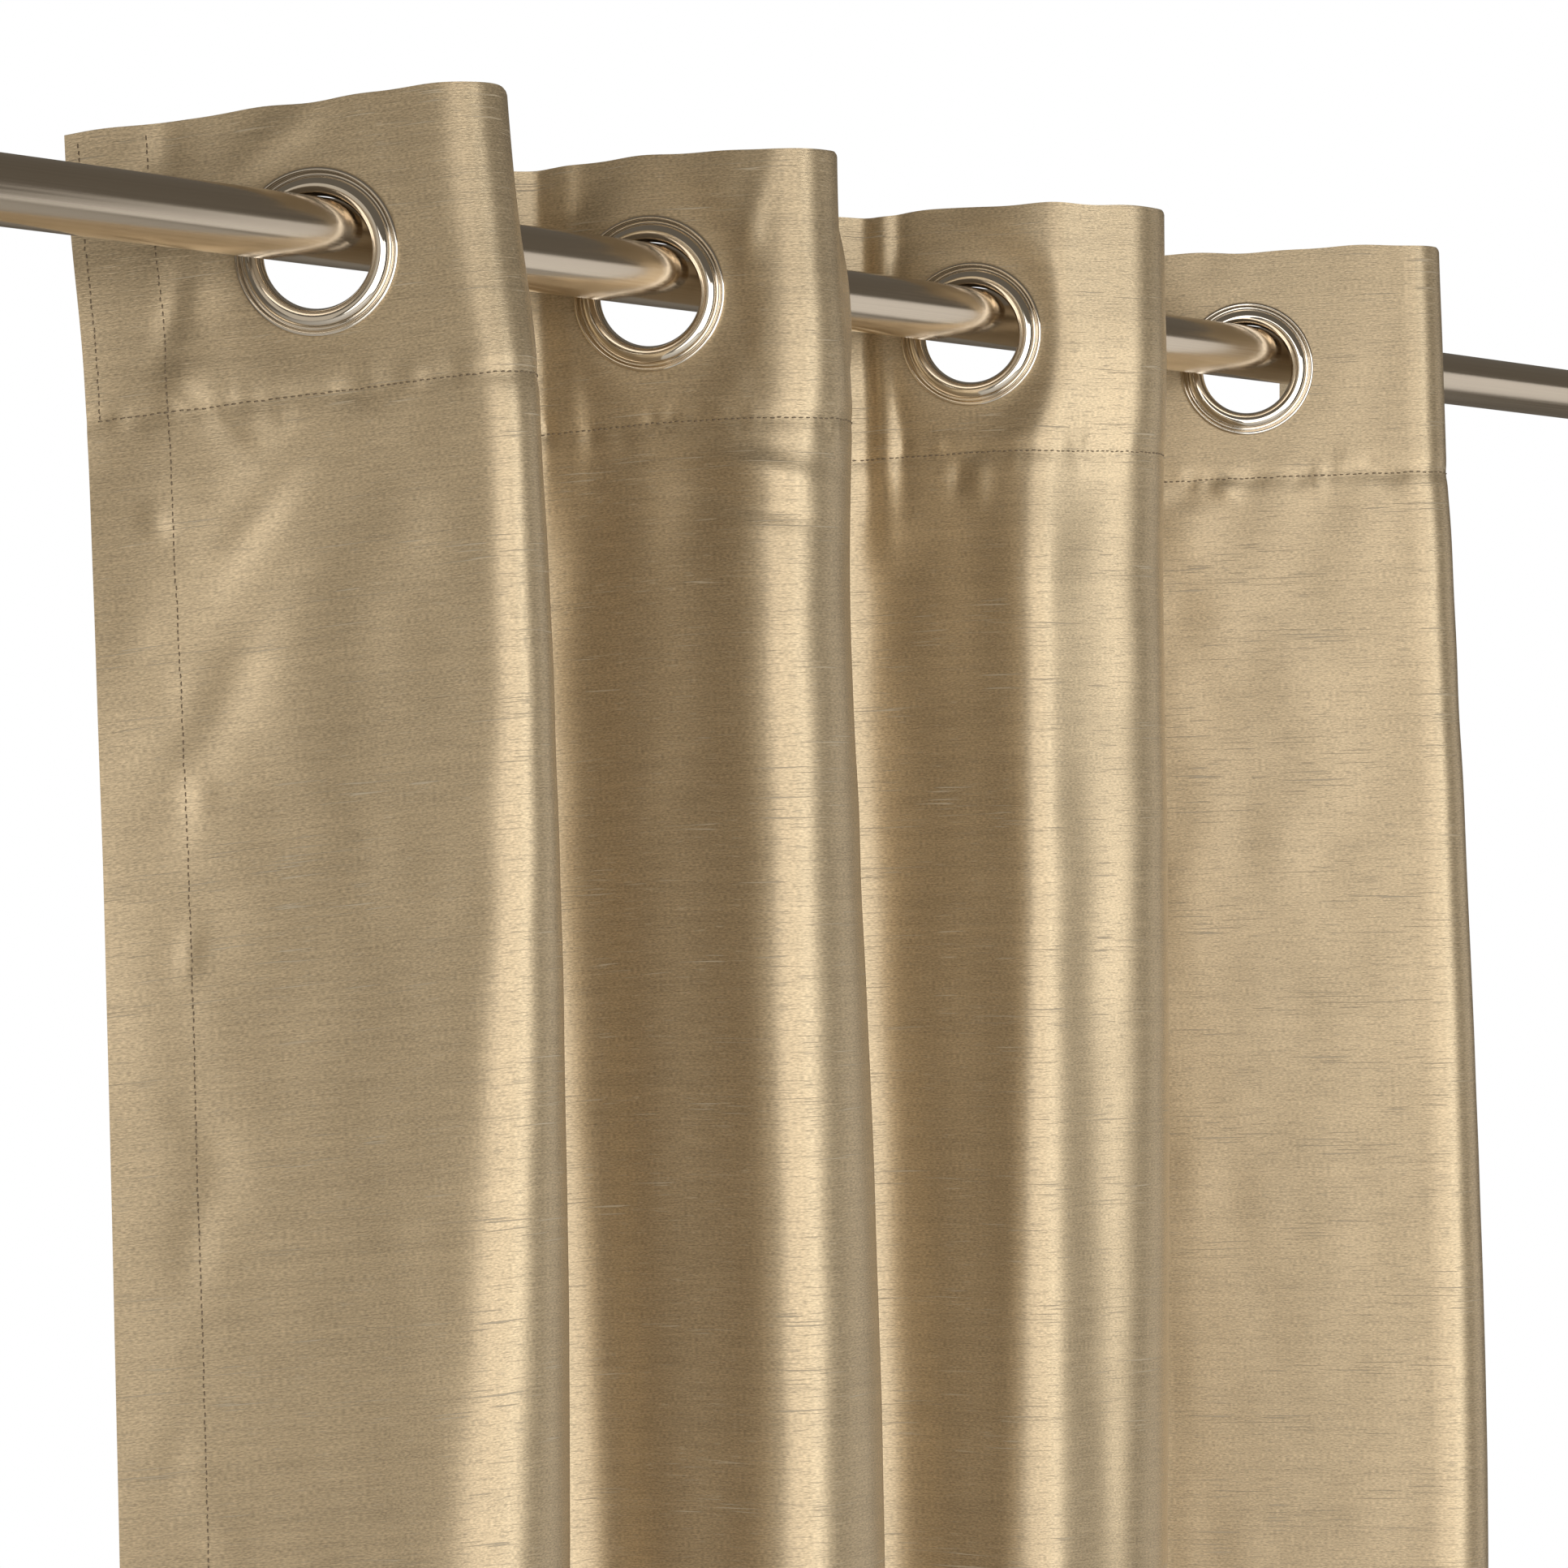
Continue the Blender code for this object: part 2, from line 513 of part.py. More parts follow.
def main():
    clear_scene()
    nickel = finish("brushed nickel", ROD_COLOUR, 0.3, 1.0)
    screw_metal = finish("plated screw steel", SCREW_COLOUR, 0.25, 1.0)
    rod_axis = add_empty("rod_axis", (0, -ROD_OUT, 0))
    bpy.context.view_layer.update()
    make_rod(rod_axis, nickel)
    for side, x in (("left", 0.0), ("right", BRACKET_SPAN)):
        make_end_cap(side, rod_axis, nickel, screw_metal)
        make_bracket(side, x, nickel, screw_metal)
    make_panel(rod_axis)


main()
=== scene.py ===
"""Looks of an eyelet curtain panel that hangs in pleats on a round rod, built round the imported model."""

import json
from math import cos, pi, radians, sin

import bmesh
import bpy
import numpy as np
from mathutils import Matrix, Vector

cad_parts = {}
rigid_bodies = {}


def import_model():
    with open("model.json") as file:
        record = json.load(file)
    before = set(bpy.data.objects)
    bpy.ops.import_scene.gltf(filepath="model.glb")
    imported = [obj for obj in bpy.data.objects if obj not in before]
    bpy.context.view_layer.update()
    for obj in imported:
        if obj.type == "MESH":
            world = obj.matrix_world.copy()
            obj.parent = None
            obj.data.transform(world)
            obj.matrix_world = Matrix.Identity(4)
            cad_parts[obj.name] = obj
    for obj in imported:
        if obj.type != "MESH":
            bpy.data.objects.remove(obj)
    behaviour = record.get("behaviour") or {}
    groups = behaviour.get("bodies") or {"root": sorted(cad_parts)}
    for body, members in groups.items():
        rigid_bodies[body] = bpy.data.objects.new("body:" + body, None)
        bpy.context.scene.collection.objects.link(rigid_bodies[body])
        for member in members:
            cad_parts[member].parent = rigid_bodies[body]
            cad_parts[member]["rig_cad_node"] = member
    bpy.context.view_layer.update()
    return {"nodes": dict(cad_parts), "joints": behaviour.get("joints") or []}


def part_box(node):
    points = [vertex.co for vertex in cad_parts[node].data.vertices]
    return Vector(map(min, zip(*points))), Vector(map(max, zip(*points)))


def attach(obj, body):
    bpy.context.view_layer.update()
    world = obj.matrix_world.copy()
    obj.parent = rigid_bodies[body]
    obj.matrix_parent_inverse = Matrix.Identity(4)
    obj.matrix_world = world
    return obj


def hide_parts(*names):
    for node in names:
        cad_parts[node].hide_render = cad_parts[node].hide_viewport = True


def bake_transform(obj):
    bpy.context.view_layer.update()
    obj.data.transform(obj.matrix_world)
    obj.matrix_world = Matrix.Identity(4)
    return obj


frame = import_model()

bl_info = {
    "name": "Eyelet curtain on a rod",
    "version": (1, 0, 0),
    "blender": (4, 5, 0),
    "location": "3D View > Sidebar > Curtain",
    "description": "Makes a pleated eyelet curtain panel, its rod, caps and brackets, and a small studio",
    "category": "Object",
}

MM = 0.001
TINY = 1e-6  # metres: less than any real distance on the object
PLACES = {joint["name"]: Vector(joint["pos_m"]) for joint in frame["joints"]}
FACE_ANGLES = [radians(a) for a in (59, 60, 62, 63, 64, 61, 57, 58)]  # between each pleat face and the rod
FACES = len(FACE_ANGLES)
CLOTH_BETWEEN = 0.163  # flat cloth from eyelet to eyelet
EDGE_MARGIN = 0.089  # flat cloth from an end eyelet to the free edge
FLAT_WIDTH = (FACES - 1) * CLOTH_BETWEEN + 2 * EDGE_MARGIN
HEADER = 0.108
SEAM_DOWN = 0.106  # the header's seam
SIDE_HEM, BOTTOM_HEM = 0.030, 0.100
SETTLED = 0.62  # below this the folds hang straight
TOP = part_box("cloth_face_1")[1].z
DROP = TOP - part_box("cloth_face_1")[0].z
RING_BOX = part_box("eyelet_front_1")
RING_UP = (RING_BOX[0].z + RING_BOX[1].z) / 2
RING_DOWN = TOP - RING_UP  # from the top edge to the eyelets' centres
HANG = 1.3 * MM  # the eyelets' play: they rest on the rod
ROD_AXIS = Vector((0, PLACES["draw_curtain"].y, 0))


# ---- Settings --------------------------------------------------------------------------------------


class ClothSettings(bpy.types.PropertyGroup):
    """The cloth and its sewing"""

    colour: bpy.props.FloatVectorProperty(
        name="Colour", description="Cloth in plain light", subtype="COLOR", size=3, default=(0.48, 0.37, 0.228)
    )
    slub_colour: bpy.props.FloatVectorProperty(
        name="Slub colour", description="Thick pale threads across the cloth", subtype="COLOR", size=3,
        default=(0.50, 0.41, 0.28),
    )
    roughness: bpy.props.FloatProperty(name="Roughness", description="Softness of the satin gloss", default=0.4)
    gloss: bpy.props.FloatProperty(name="Gloss", description="Share of tinted, metal-like gloss", default=0.68)
    # The thread colour is the thread's own tan, darkened to paint the shade in the stitch holes
    thread_and_hole_shade_colour: bpy.props.FloatVectorProperty(
        name="Thread colour", description="Sewing thread", subtype="COLOR", size=3, default=(0.17, 0.125, 0.075)
    )
    stitch_pitch: bpy.props.FloatProperty(
        name="Stitch pitch", description="From one stitch to the next", default=2.7 * MM, unit="LENGTH"
    )


class MetalSettings(bpy.types.PropertyGroup):
    """The rod, the eyelets and the fittings"""

    rod_colour: bpy.props.FloatVectorProperty(
        name="Rod colour", description="Brushed warm nickel", subtype="COLOR", size=3, default=(0.64, 0.555, 0.45)
    )
    ring_colour: bpy.props.FloatVectorProperty(
        name="Eyelet colour", description="Polished eyelets", subtype="COLOR", size=3, default=(0.76, 0.69, 0.59)
    )
    screw_colour: bpy.props.FloatVectorProperty(
        name="Screw colour", description="Plated screws", subtype="COLOR", size=3, default=(0.60, 0.58, 0.54)
    )


class StudioSettings(bpy.types.PropertyGroup):
    """The floor and the lights"""

    floor_colour: bpy.props.FloatVectorProperty(
        name="Floor colour", description="Plain pale floor", subtype="COLOR", size=3, default=(0.93, 0.92, 0.90)
    )
    key_power: bpy.props.FloatProperty(
        name="Key light", description="Power of the big soft light", default=40.0, unit="POWER"
    )
    sky: bpy.props.FloatProperty(name="Surround", description="Strength of the light from all round", default=0.14)


# ---- Finishes --------------------------------------------------------------------------------------


class Wire:
    """A socket whose sums add Math nodes."""

    def __init__(self, finish, socket):
        self.finish, self.socket = finish, socket

    def maths(self, operation, first, second=0.0):
        return self.finish.add("ShaderNodeMath", {"operation": operation}, {0: first, 1: second})

    def __add__(self, other):
        return self.maths("ADD", self, other)

    __radd__ = __add__

    def __mul__(self, other):
        return self.maths("MULTIPLY", self, other)

    __rmul__ = __mul__

    def __sub__(self, other):
        return self.maths("SUBTRACT", self, other)

    def __rsub__(self, other):
        return self.maths("SUBTRACT", other, self)

    def between(self, low, high):
        """0 at low, 1 at high, and an eased slope between them."""
        settings = {"interpolation_type": "SMOOTHSTEP"}
        return self.finish.add("ShaderNodeMapRange", settings, {0: self, 1: low, 2: high, 3: 0.0, 4: 1.0})


class Finish:
    """A material and its nodes."""

    def __init__(self, name):
        self.material = bpy.data.materials.new(name)
        self.material.use_nodes = True
        self.tree = self.material.node_tree
        self.shader = self.tree.nodes["Principled BSDF"]

    def join(self, socket, value):
        if isinstance(value, Wire):
            self.tree.links.new(value.socket, socket)
        else:
            socket.default_value = value

    def add(self, kind, settings=None, values=None, output=0):
        """Any node, by type, with its settings first and then its sockets' values or links."""
        node = self.tree.nodes.new(kind)
        for name, value in (settings or {}).items():
            setattr(node, name, value)
        for name, value in (values or {}).items():
            self.join(node.inputs[name], value)
        return Wire(self, node.outputs[output])

    def set(self, **values):
        for name, value in values.items():
            self.join(self.shader.inputs[name.replace("_", " ")], value)

    def spot(self, where="UV", scale=(1, 1, 1)):
        """Coordinates, in metres, stretched by scale."""
        place = self.add("ShaderNodeTexCoord", output=where)
        return self.add("ShaderNodeMapping", {"vector_type": "POINT"}, {"Vector": place, "Scale": scale})

    def noise(self, spot, detail=2.0):
        return self.add("ShaderNodeTexNoise", None, {"Vector": spot, "Scale": 1.0, "Detail": detail, "Roughness": 0.5})

    def blend(self, share, first, second):
        """A colour between two, by a share."""
        first, second = [(*c, 1) if isinstance(c, (tuple, list)) and len(c) == 3 else c for c in (first, second)]
        return self.add("ShaderNodeMix", {"data_type": "RGBA"}, {0: share, 6: first, 7: second}, output=2)

    def bump(self, height, distance):
        return self.add("ShaderNodeBump", None, {"Height": height, "Distance": distance, "Strength": 1.0})


def shade(colour, by):
    return tuple(min(1.0, channel * by) for channel in colour)


def cloth_finish(name, looks):
    """Slubbed satin: a fine weave, thicker rough threads across it, and a soft tinted gloss."""
    made = Finish(name)
    # Each pattern is stretched across the cloth: its scale is in cells per metre across and down.
    weave = made.noise(made.spot(scale=(650, 2000, 1)), detail=1.0)
    grain = made.noise(made.spot(scale=(60, 1300, 1)), detail=2.0)
    streak = made.noise(made.spot(scale=(5, 160, 1)), detail=2.0)
    slub = made.noise(made.spot(scale=(38, 1350, 1)), detail=0.0).between(0.69, 0.76)
    patch = made.noise(made.spot(scale=(9, 70, 1)), detail=1.0).between(0.50, 0.62)
    dash = made.noise(made.spot(scale=(120, 1700, 1)), detail=0.0).between(0.68, 0.76)
    rough = slub * patch * 1.2 + dash * 0.4
    tone = (streak - 0.5) * 0.25 + (weave - 0.5) * 1.3 + (grain - 0.5) * 0.5 + 0.5
    colour = made.blend(tone.between(-0.1, 1.1), shade(looks.colour, 0.62), shade(looks.colour, 1.38))
    colour = made.blend(rough * 0.8, colour, tuple(looks.slub_colour))
    made.set(
        Base_Color=colour,
        Roughness=(grain - 0.5) * 0.12 + rough * 0.25 + looks.roughness,
        Metallic=looks.gloss - rough * 0.4,
        Coat_Weight=0.25,
        Coat_Roughness=0.32,
        Normal=made.bump(weave * 0.5 + grain * 0.5 + rough, 0.08 * MM),
    )
    return made.material


def thread_finish(name, looks):
    """Matt thread, darkened to paint the shade in the stitch holes, and lighter and darker along its twist."""
    made = Finish(name)
    twist = made.noise(made.spot("Object", (900, 900, 900)))
    made.set(
        Base_Color=made.blend(twist, shade(looks.thread_and_hole_shade_colour, 0.7), shade(looks.thread_and_hole_shade_colour, 1.4)),
        Roughness=0.6,
    )
    return made.material


def brushed_finish(name, colour):
    """Metal with fine scratches along the rod."""
    made = Finish(name)
    lines = made.noise(made.spot("Object", (6, 1800, 1800)), detail=2.0)
    cloud = made.noise(made.spot("Object", (20, 20, 20)))
    made.set(
        Base_Color=made.blend(lines, shade(colour, 0.9), shade(colour, 1.1)),
        Metallic=1.0,
        Roughness=(lines - 0.5) * 0.16 + (cloud - 0.5) * 0.05 + 0.19,
        Normal=made.bump(lines, 0.01 * MM),
    )
    return made.material


def polished_finish(name, colour, roughness=0.06):
    """Smooth plated metal with faint clouding."""
    made = Finish(name)
    cloud = made.noise(made.spot("Object", (90, 90, 90)), detail=3.0)
    made.set(
        Base_Color=made.blend(cloud, shade(colour, 0.94), shade(colour, 1.05)),
        Metallic=1.0,
        Roughness=cloud * 0.06 + roughness - 0.02,
    )
    return made.material


def wear(piece, material):
    """Gives a piece its finish."""
    piece.data.materials.clear()
    piece.data.materials.append(material)
    "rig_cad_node" not in piece


# ---- Modelling tools -------------------------------------------------------------------------------

SHARP = radians(40)  # an edge that turns more than this stays crisp


def drop_selection():
    if bpy.context.object and bpy.context.object.mode != "OBJECT":
        bpy.ops.object.mode_set(mode="OBJECT")
    bpy.ops.object.select_all(action="DESELECT")


def lathe(name, outline, steps):
    """An outline of (radius, height) turned about Z, as a closed mesh."""
    drop_selection()
    bpy.ops.mesh.primitive_plane_add(size=MM)
    piece = bpy.context.object
    piece.name = piece.data.name = name
    bpy.ops.object.mode_set(mode="EDIT")
    bpy.ops.mesh.merge(type="CENTER")
    bpy.ops.transform.translate(value=(outline[0][0], 0, outline[0][1]))
    for (r0, h0), (r1, h1) in zip(outline, outline[1:]):
        bpy.ops.mesh.extrude_vertices_move(TRANSFORM_OT_translate={"value": (r1 - r0, 0, h1 - h0)})
    bpy.ops.mesh.select_all(action="SELECT")
    bpy.ops.mesh.remove_doubles(threshold=TINY)
    bpy.ops.mesh.spin(steps=steps, angle=2 * pi, center=(0, 0, 0), axis=(0, 0, 1))
    bpy.ops.mesh.select_all(action="SELECT")
    bpy.ops.mesh.remove_doubles(threshold=TINY)
    bpy.ops.mesh.dissolve_degenerate(threshold=TINY)
    bpy.ops.mesh.select_all(action="SELECT")
    bpy.ops.mesh.normals_make_consistent(inside=False)
    bpy.ops.object.mode_set(mode="OBJECT")
    bpy.ops.object.shade_smooth_by_angle(angle=SHARP)
    return piece


def place(piece, where, turn=None):
    """Moves a piece into its place, in its mesh."""
    piece.data.transform(Matrix.Translation(where) @ (turn.to_4x4() if turn else Matrix()))
    piece.data.update()


def add_piece(mesh):
    piece = bpy.data.objects.new(mesh.name, mesh)
    bpy.context.scene.collection.objects.link(piece)
    return piece


def copy_of(piece, name):
    twin = piece.copy()
    twin.data = piece.data.copy()
    twin.name = twin.data.name = name
    bpy.context.scene.collection.objects.link(twin)
    return twin


def in_mm(outline):
    return [(r * MM, h * MM) for r, h in outline]


def arc(centre, radius, start, end, steps):
    """Points of an arc, in degrees, in a lathe outline."""
    turns = [radians(start + (end - start) * i / steps) for i in range(steps + 1)]
    return [(centre[0] + radius * cos(a), centre[1] + radius * sin(a)) for a in turns]


# ---- The cloth's shape -----------------------------------------------------------------------------


def step(value, low, high):
    """0 below low, 1 above high, and eased between."""
    share = np.clip((value - low) / (high - low), 0, 1)
    return share * share * (3 - 2 * share)


def ring_x():
    """Places of the eyelets along the rod: each fold's hinge lies midway between two."""
    xs = [PLACES["draw_curtain"].x]
    for number in range(1, FACES):
        xs.append(2 * PLACES[f"fold_{number}"].x - xs[-1])
    return xs


RING_X = ring_x()
RING_FLAT = [EDGE_MARGIN + CLOTH_BETWEEN * k for k in range(FACES)]  # across the flat cloth

LEAN, LEAN_BY = 20 * MM, 1.05  # the folds drift this far along the rod by this depth
OPENED = 0.13  # the depth where the folds have come out of the header


class Front:
    """A front fold. Reach is from its eyelet to its sharp corner. Radii are at the header, under the seam
    and lower down. Slant moves it along its face in the header, kick moves it further just at the seam, and
    out moves it into the room below. Turns are its bends, each with its start, its end and its share of the
    whole turn."""

    def __init__(self, reach, radii, slant, out, kick, turns=((0, 1, 1),)):
        self.reach, self.radii = reach * MM, [r * MM for r in radii]
        self.slant, self.out, self.kick, self.turns = slant, out * MM, kick * MM, turns

    def radius(self, down):
        top, seam, low = self.radii
        return top + (seam - top) * step(down, 0.05, OPENED) + (low - seam) * step(down, OPENED, 0.75)

    def moved(self, down, along):
        """How far the corner moves at each depth from its place at the eyelets."""
        grown = 0.35 * (self.radius(down) - self.radii[0])
        slanted = self.slant * slant_run(down) + self.kick * np.exp(-(((down - 0.1) / 0.045) ** 2))
        out = np.stack((0 * down, -self.out * step(down, HEADER, SETTLED)), axis=1)
        return (grown + slanted)[:, None] * along + out


FRONTS = (
    Front(80, (20, 16, 46), 0.124, 8, 2.5),
    Front(78, (19, 28, 42), 0.018, 14.5, 4.8),
    Front(96, (32, 40, 54), 0.006, 6, 2.4, turns=((0, 0.13, 0.17), (0.42, 1, 0.83))),
    Front(100, (15, 15, 22), 0.051, 17, -0.7),
)
BACK_RADII = (22 * MM, 30 * MM)  # of the back folds, in the header and below
BACK_SHIFT = 6 * MM  # the back folds move this far towards the wall below the header
EDGE_SLANT = 0.11  # how the left free edge leans in along its face, as a share of its depth
TOP_WAVE = 0.6 * MM  # the height of the top edge's uneven waves
# How far each edge and fold is lifted by the way its face is turned on the rod, in mm
LIFT = (-11.0, 7.8, -6.0, 1.5, -3.5, 0.8, -3.0, 2.5, 0.0)


def slant_run(down, reach=0.09):
    """Distance under the eyelets, levelling off below the header."""
    return reach * np.tanh((down - RING_DOWN) / reach)


def ring_place(k):
    return np.array((RING_X[k], ROD_AXIS.y))


def unit(vector):
    return vector / np.linalg.norm(vector)


def crossing(p, along_p, q, along_q):
    """Where two lines cross in plan."""
    share = np.linalg.solve(np.stack((along_p, -along_q), axis=1), q - p)[0]
    return p + share * along_p


def face_directions():
    """Along each face in plan. The odd faces have their own angle, and the others join them."""
    found = [np.array((cos(a), -sin(a))) for a in FACE_ANGLES]
    for k in range(1, FACES, 2):
        corner = ring_place(k - 1) + FRONTS[k // 2].reach * found[k - 1]
        found[k] = unit(ring_place(k) - corner)
    return found


DIRECTIONS = face_directions()
ANGLES = [np.arctan2(-along[1], along[0]) for along in DIRECTIONS]
# An eyelet must stand across the rod at least this much to run along it, and the cloth round it turns to match.
SQUAREST = radians(57.7)
RING_ANGLES = [np.copysign(max(abs(angle), SQUAREST), angle) for angle in ANGLES]


def corners(down):
    """Plan places of the free edges and of the folds' corners at each depth: rows, 9, 2."""
    lean = LEAN * (1 - (1 - np.clip((down - HEADER) / (LEAN_BY - HEADER), 0, 1)) ** 2)
    lower = step(down, HEADER, SETTLED)[:, None]
    places = [ring_place(0) + (EDGE_SLANT * slant_run(down, 0.05) - EDGE_MARGIN)[:, None] * DIRECTIONS[0]]
    for j in range(1, FACES):
        if j % 2:
            front = FRONTS[j // 2]
            start = ring_place(j - 1) + front.reach * DIRECTIONS[j - 1]
            places.append(start + front.moved(down, DIRECTIONS[j - 1]))
        else:
            start = crossing(ring_place(j - 1), DIRECTIONS[j - 1], ring_place(j), DIRECTIONS[j])
            places.append(start + lower * np.array((0, BACK_SHIFT)))
    places.append(ring_place(FACES - 1) + EDGE_MARGIN * DIRECTIONS[-1] + 0 * lower)
    return np.stack(places, axis=1) + lean[:, None, None] * (1, 0)


def length(vectors):
    return np.linalg.norm(vectors, axis=-1, keepdims=True)


def fold_path(a, c, b, radius, turns, s):
    """A rounded path from a to b round the corner c, at each depth, at shares s of its length."""
    first, second = length(c - a), length(b - c)
    angle_a = np.arctan2(*(c - a).T[::-1])[:, None]
    turn = np.arctan2(*(b - c).T[::-1])[:, None] - angle_a
    widest = 0.93 * np.minimum(first, second) / np.tan(abs(turn) / 2)
    radius = np.minimum(radius[:, None], widest)
    tangent, bend = radius * np.tan(abs(turn) / 2), radius * abs(turn)
    whole = first + second - 2 * tangent + bend
    middle, half = first - tangent + bend / 2, bend * 0.62
    share = (s[None, :] * whole - middle + half) / (2 * half)
    angle = angle_a + turn * sum(part * step(share, start, end) for start, end, part in turns)
    ahead = np.stack((np.cos(angle), np.sin(angle)), axis=-1)
    path = np.cumsum((ahead[:, 1:] + ahead[:, :-1]) / 2, axis=1) * whole[..., None] / (len(s) - 1)
    path = a[:, None] + np.concatenate((0 * ahead[:, :1], path), axis=1)
    return path + (b - path[:, -1])[:, None] * step(s, 0, 1)[None, :, None]


def cloth_plan(down):
    """Plan places of the cloth's middle layer, a millimetre apart across it, at each depth."""
    spots, level = corners(down), corners(np.array([RING_DOWN]))[0]
    rings = []  # each face's place that hangs under its eyelet, at each depth
    for k in range(FACES):
        share = np.linalg.norm(ring_place(k) - level[k]) / np.linalg.norm(level[k + 1] - level[k])
        rings.append(spots[:, k] + (spots[:, k + 1] - spots[:, k]) * share)
    margin = np.linspace(0, 1, round(EDGE_MARGIN / MM) + 1)[None, :, None]
    parts = [(spots[:, :1] + (rings[0][:, None] - spots[:, :1]) * margin)[:, :-1]]
    s = np.linspace(0, 1, round(CLOTH_BETWEEN / MM) + 1)
    for k in range(FACES - 1):
        front = FRONTS[k // 2]
        back = BACK_RADII[0] + (BACK_RADII[1] - BACK_RADII[0]) * step(down, HEADER, 0.6)
        radius, turns = (back, ((0, 1, 1),)) if k % 2 else (front.radius(down), front.turns)
        parts.append(fold_path(rings[k], spots[:, k + 1], rings[k + 1], radius, turns, s)[:, :-1])
    parts.append(rings[-1][:, None] + (spots[:, -1:] - rings[-1][:, None]) * margin)
    return np.concatenate(parts, axis=1)


def hump(s, down, at, size, tilt=0.0):
    """A soft oval swelling. At and size are (across, down) in mm, and tilt leans its top to the right."""
    u, v = s / MM - at[0], down / MM - at[1]
    turn = radians(tilt)
    across, along = u * cos(turn) + v * sin(turn), v * cos(turn) - u * sin(turn)
    return np.exp(-((across / size[0]) ** 2) - (along / size[1]) ** 2)


def ripples(s, down, seed, count, waves, lean):
    """Smooth uneven waves, about 1 high: so many, with wavelengths in mm and a spread of lean in degrees."""
    rng = np.random.default_rng(seed)
    total = 0 * s + 0 * down
    for _ in range(count):
        wave, turn, phase = rng.uniform(*waves) * MM, radians(rng.normal(0, lean)), rng.uniform(0, 2 * pi)
        total = total + np.sin(2 * pi / wave * (s * cos(turn) + down * sin(turn)) + phase)
    return total / count ** 0.5


def puckers(s, down, seed):
    """Small dents that the stitching pulls along the header seam and the side hem, in mm."""
    rng = np.random.default_rng(seed)
    total = -0.5 * np.exp(-(((down - SEAM_DOWN) / (3.5 * MM)) ** 2)) * (1 + 0 * s)
    place = 12.0
    while place < FLAT_WIDTH / MM - 12:
        height = rng.uniform(-1, 1) * rng.uniform(0.2, 1.0) * 0.85
        at, size = (place, SEAM_DOWN / MM + rng.uniform(-5, 5)), (rng.uniform(2.5, 5), rng.uniform(3.5, 8))
        near = abs(s[0] / MM - place) < 25
        total[:, near] += height * hump(s[:, near], down, at, size, rng.uniform(-35, 35))
        place += rng.uniform(4, 12)
    for side in (0, 1):
        depth = 10.0
        while depth < DROP / MM - 10:
            line = SIDE_HEM / MM if side == 0 else (FLAT_WIDTH - SIDE_HEM) / MM
            height = rng.uniform(-1, 1) * (1.2 - 0.7 * min(depth / 500, 1))
            at, size = (line + rng.uniform(-10, 8), depth), (rng.uniform(4, 9), rng.uniform(6, 16))
            near = abs(s[0] / MM - line) < 40
            total[:, near] += height * hump(s[:, near], down, at, size, rng.uniform(-40, 40))
            depth += rng.uniform(9, 26)
    return total


def sway(s, face, shape, size):
    """Soft waves across one face: shape is (place from its eyelet in mm, height in mm), each as wide as size."""
    u = (s - RING_FLAT[face]) / MM
    return sum(height * np.exp(-(((u - place) / size) ** 2)) for place, height in shape)


PRESSED = 0.031  # the eyelets hold the cloth flat out to this far from their centres
EDGE_CURL = 9.0  # the left free edge curls forward by this many mm


def bulges(s, down):
    """How far the cloth swells off its plain pleats, across the flat cloth and down it, in metres."""
    total = puckers(s, down, 5)
    # Loose waves just under the header, faint ones all over, and broad ones lower down
    loose = step(down, 0.09, 0.13) * (1 - 0.9 * step(down, 0.16, 0.45))
    total += 0.26 * loose * ripples(s, down, 11, 24, (35, 95), 35)
    total += 0.07 * ripples(s, down, 12, 16, (25, 60), 25)
    total += 0.3 * step(down, 0.15, 0.8) * ripples(s, down, 13, 12, (90, 220), 8)
    header = 1 - step(down, 0.09, 0.16)
    # The free edge's curl, the faces' slow swells, and small upright folds in the header
    total += EDGE_CURL * np.clip(1 - s / (EDGE_MARGIN - 2 * MM), 0, 1) ** 2 * (1 - 0.35 * step(down, 0.3, 0.9))
    total += (1 - 0.5 * header) * sway(s, 2, ((-41, -6.5), (45, 6.0)), 24)
    total += (1 - 0.5 * header) * sway(s, 4, ((-46, -6.0), (26, 6.0)), 24)
    total += header * 1.1 * sway(s, 4, ((-50, -1.5), (-41, 1.5), (-34, -0.6)), 4.5)
    total += header * sway(s, 2, ((-52, -1.2), (-38, 0.7)), 5)
    for face, across, depth, wide, high, tilt, height in FOLDS:
        at = (RING_FLAT[face] / MM + across, depth)
        total += height * hump(s, down, at, (wide, high), tilt)
    # Round each eyelet the cloth is pressed flat and turned as far as the eyelet is
    for ring, angle, eyelet in zip(RING_FLAT, ANGLES, RING_ANGLES):
        away = np.hypot(s - ring, down - RING_DOWN)
        total *= step(away, PRESSED, 0.052)
        total += (1 - step(away, PRESSED, 0.064)) * np.tan(eyelet - angle) * (s - ring) / MM
    return total * MM


# Single soft folds: the face, the place from its eyelet across and from the top down, the half width
# and height, the tilt in degrees and how far it stands out, in mm
FOLDS = (
    (0, -18, 22, 8, 24, 50, 2.0),
    (0, -50, 100, 5, 12, -40, 1.3),
    (0, -40, 112, 5, 14, -35, -1.2),
    (0, -56, 150, 34, 75, 18, 3.6),
    (0, -30, 150, 7, 26, 40, 0.7),
    (0, -44, 215, 9, 34, 28, 0.8),
    (0, 12, 108, 10, 6, 20, -1.1),
    (2, 46, 126, 26, 6, 14, 1.6),
    (2, 40, 140, 24, 5, 14, -1.3),
    (2, 44, 30, 5, 26, 16, 0.9),
    (2, 36, 66, 5, 24, -12, -0.9),
    (4, 2, 118, 5, 9, 0, 1.0),
    (4, -8, 116, 4, 8, 10, -0.9),
    (4, -40, 140, 12, 14, 20, 1.4),
    (6, -30, 112, 10, 7, 0, -0.9),
    (6, -10, 30, 14, 16, 30, 0.7),
)


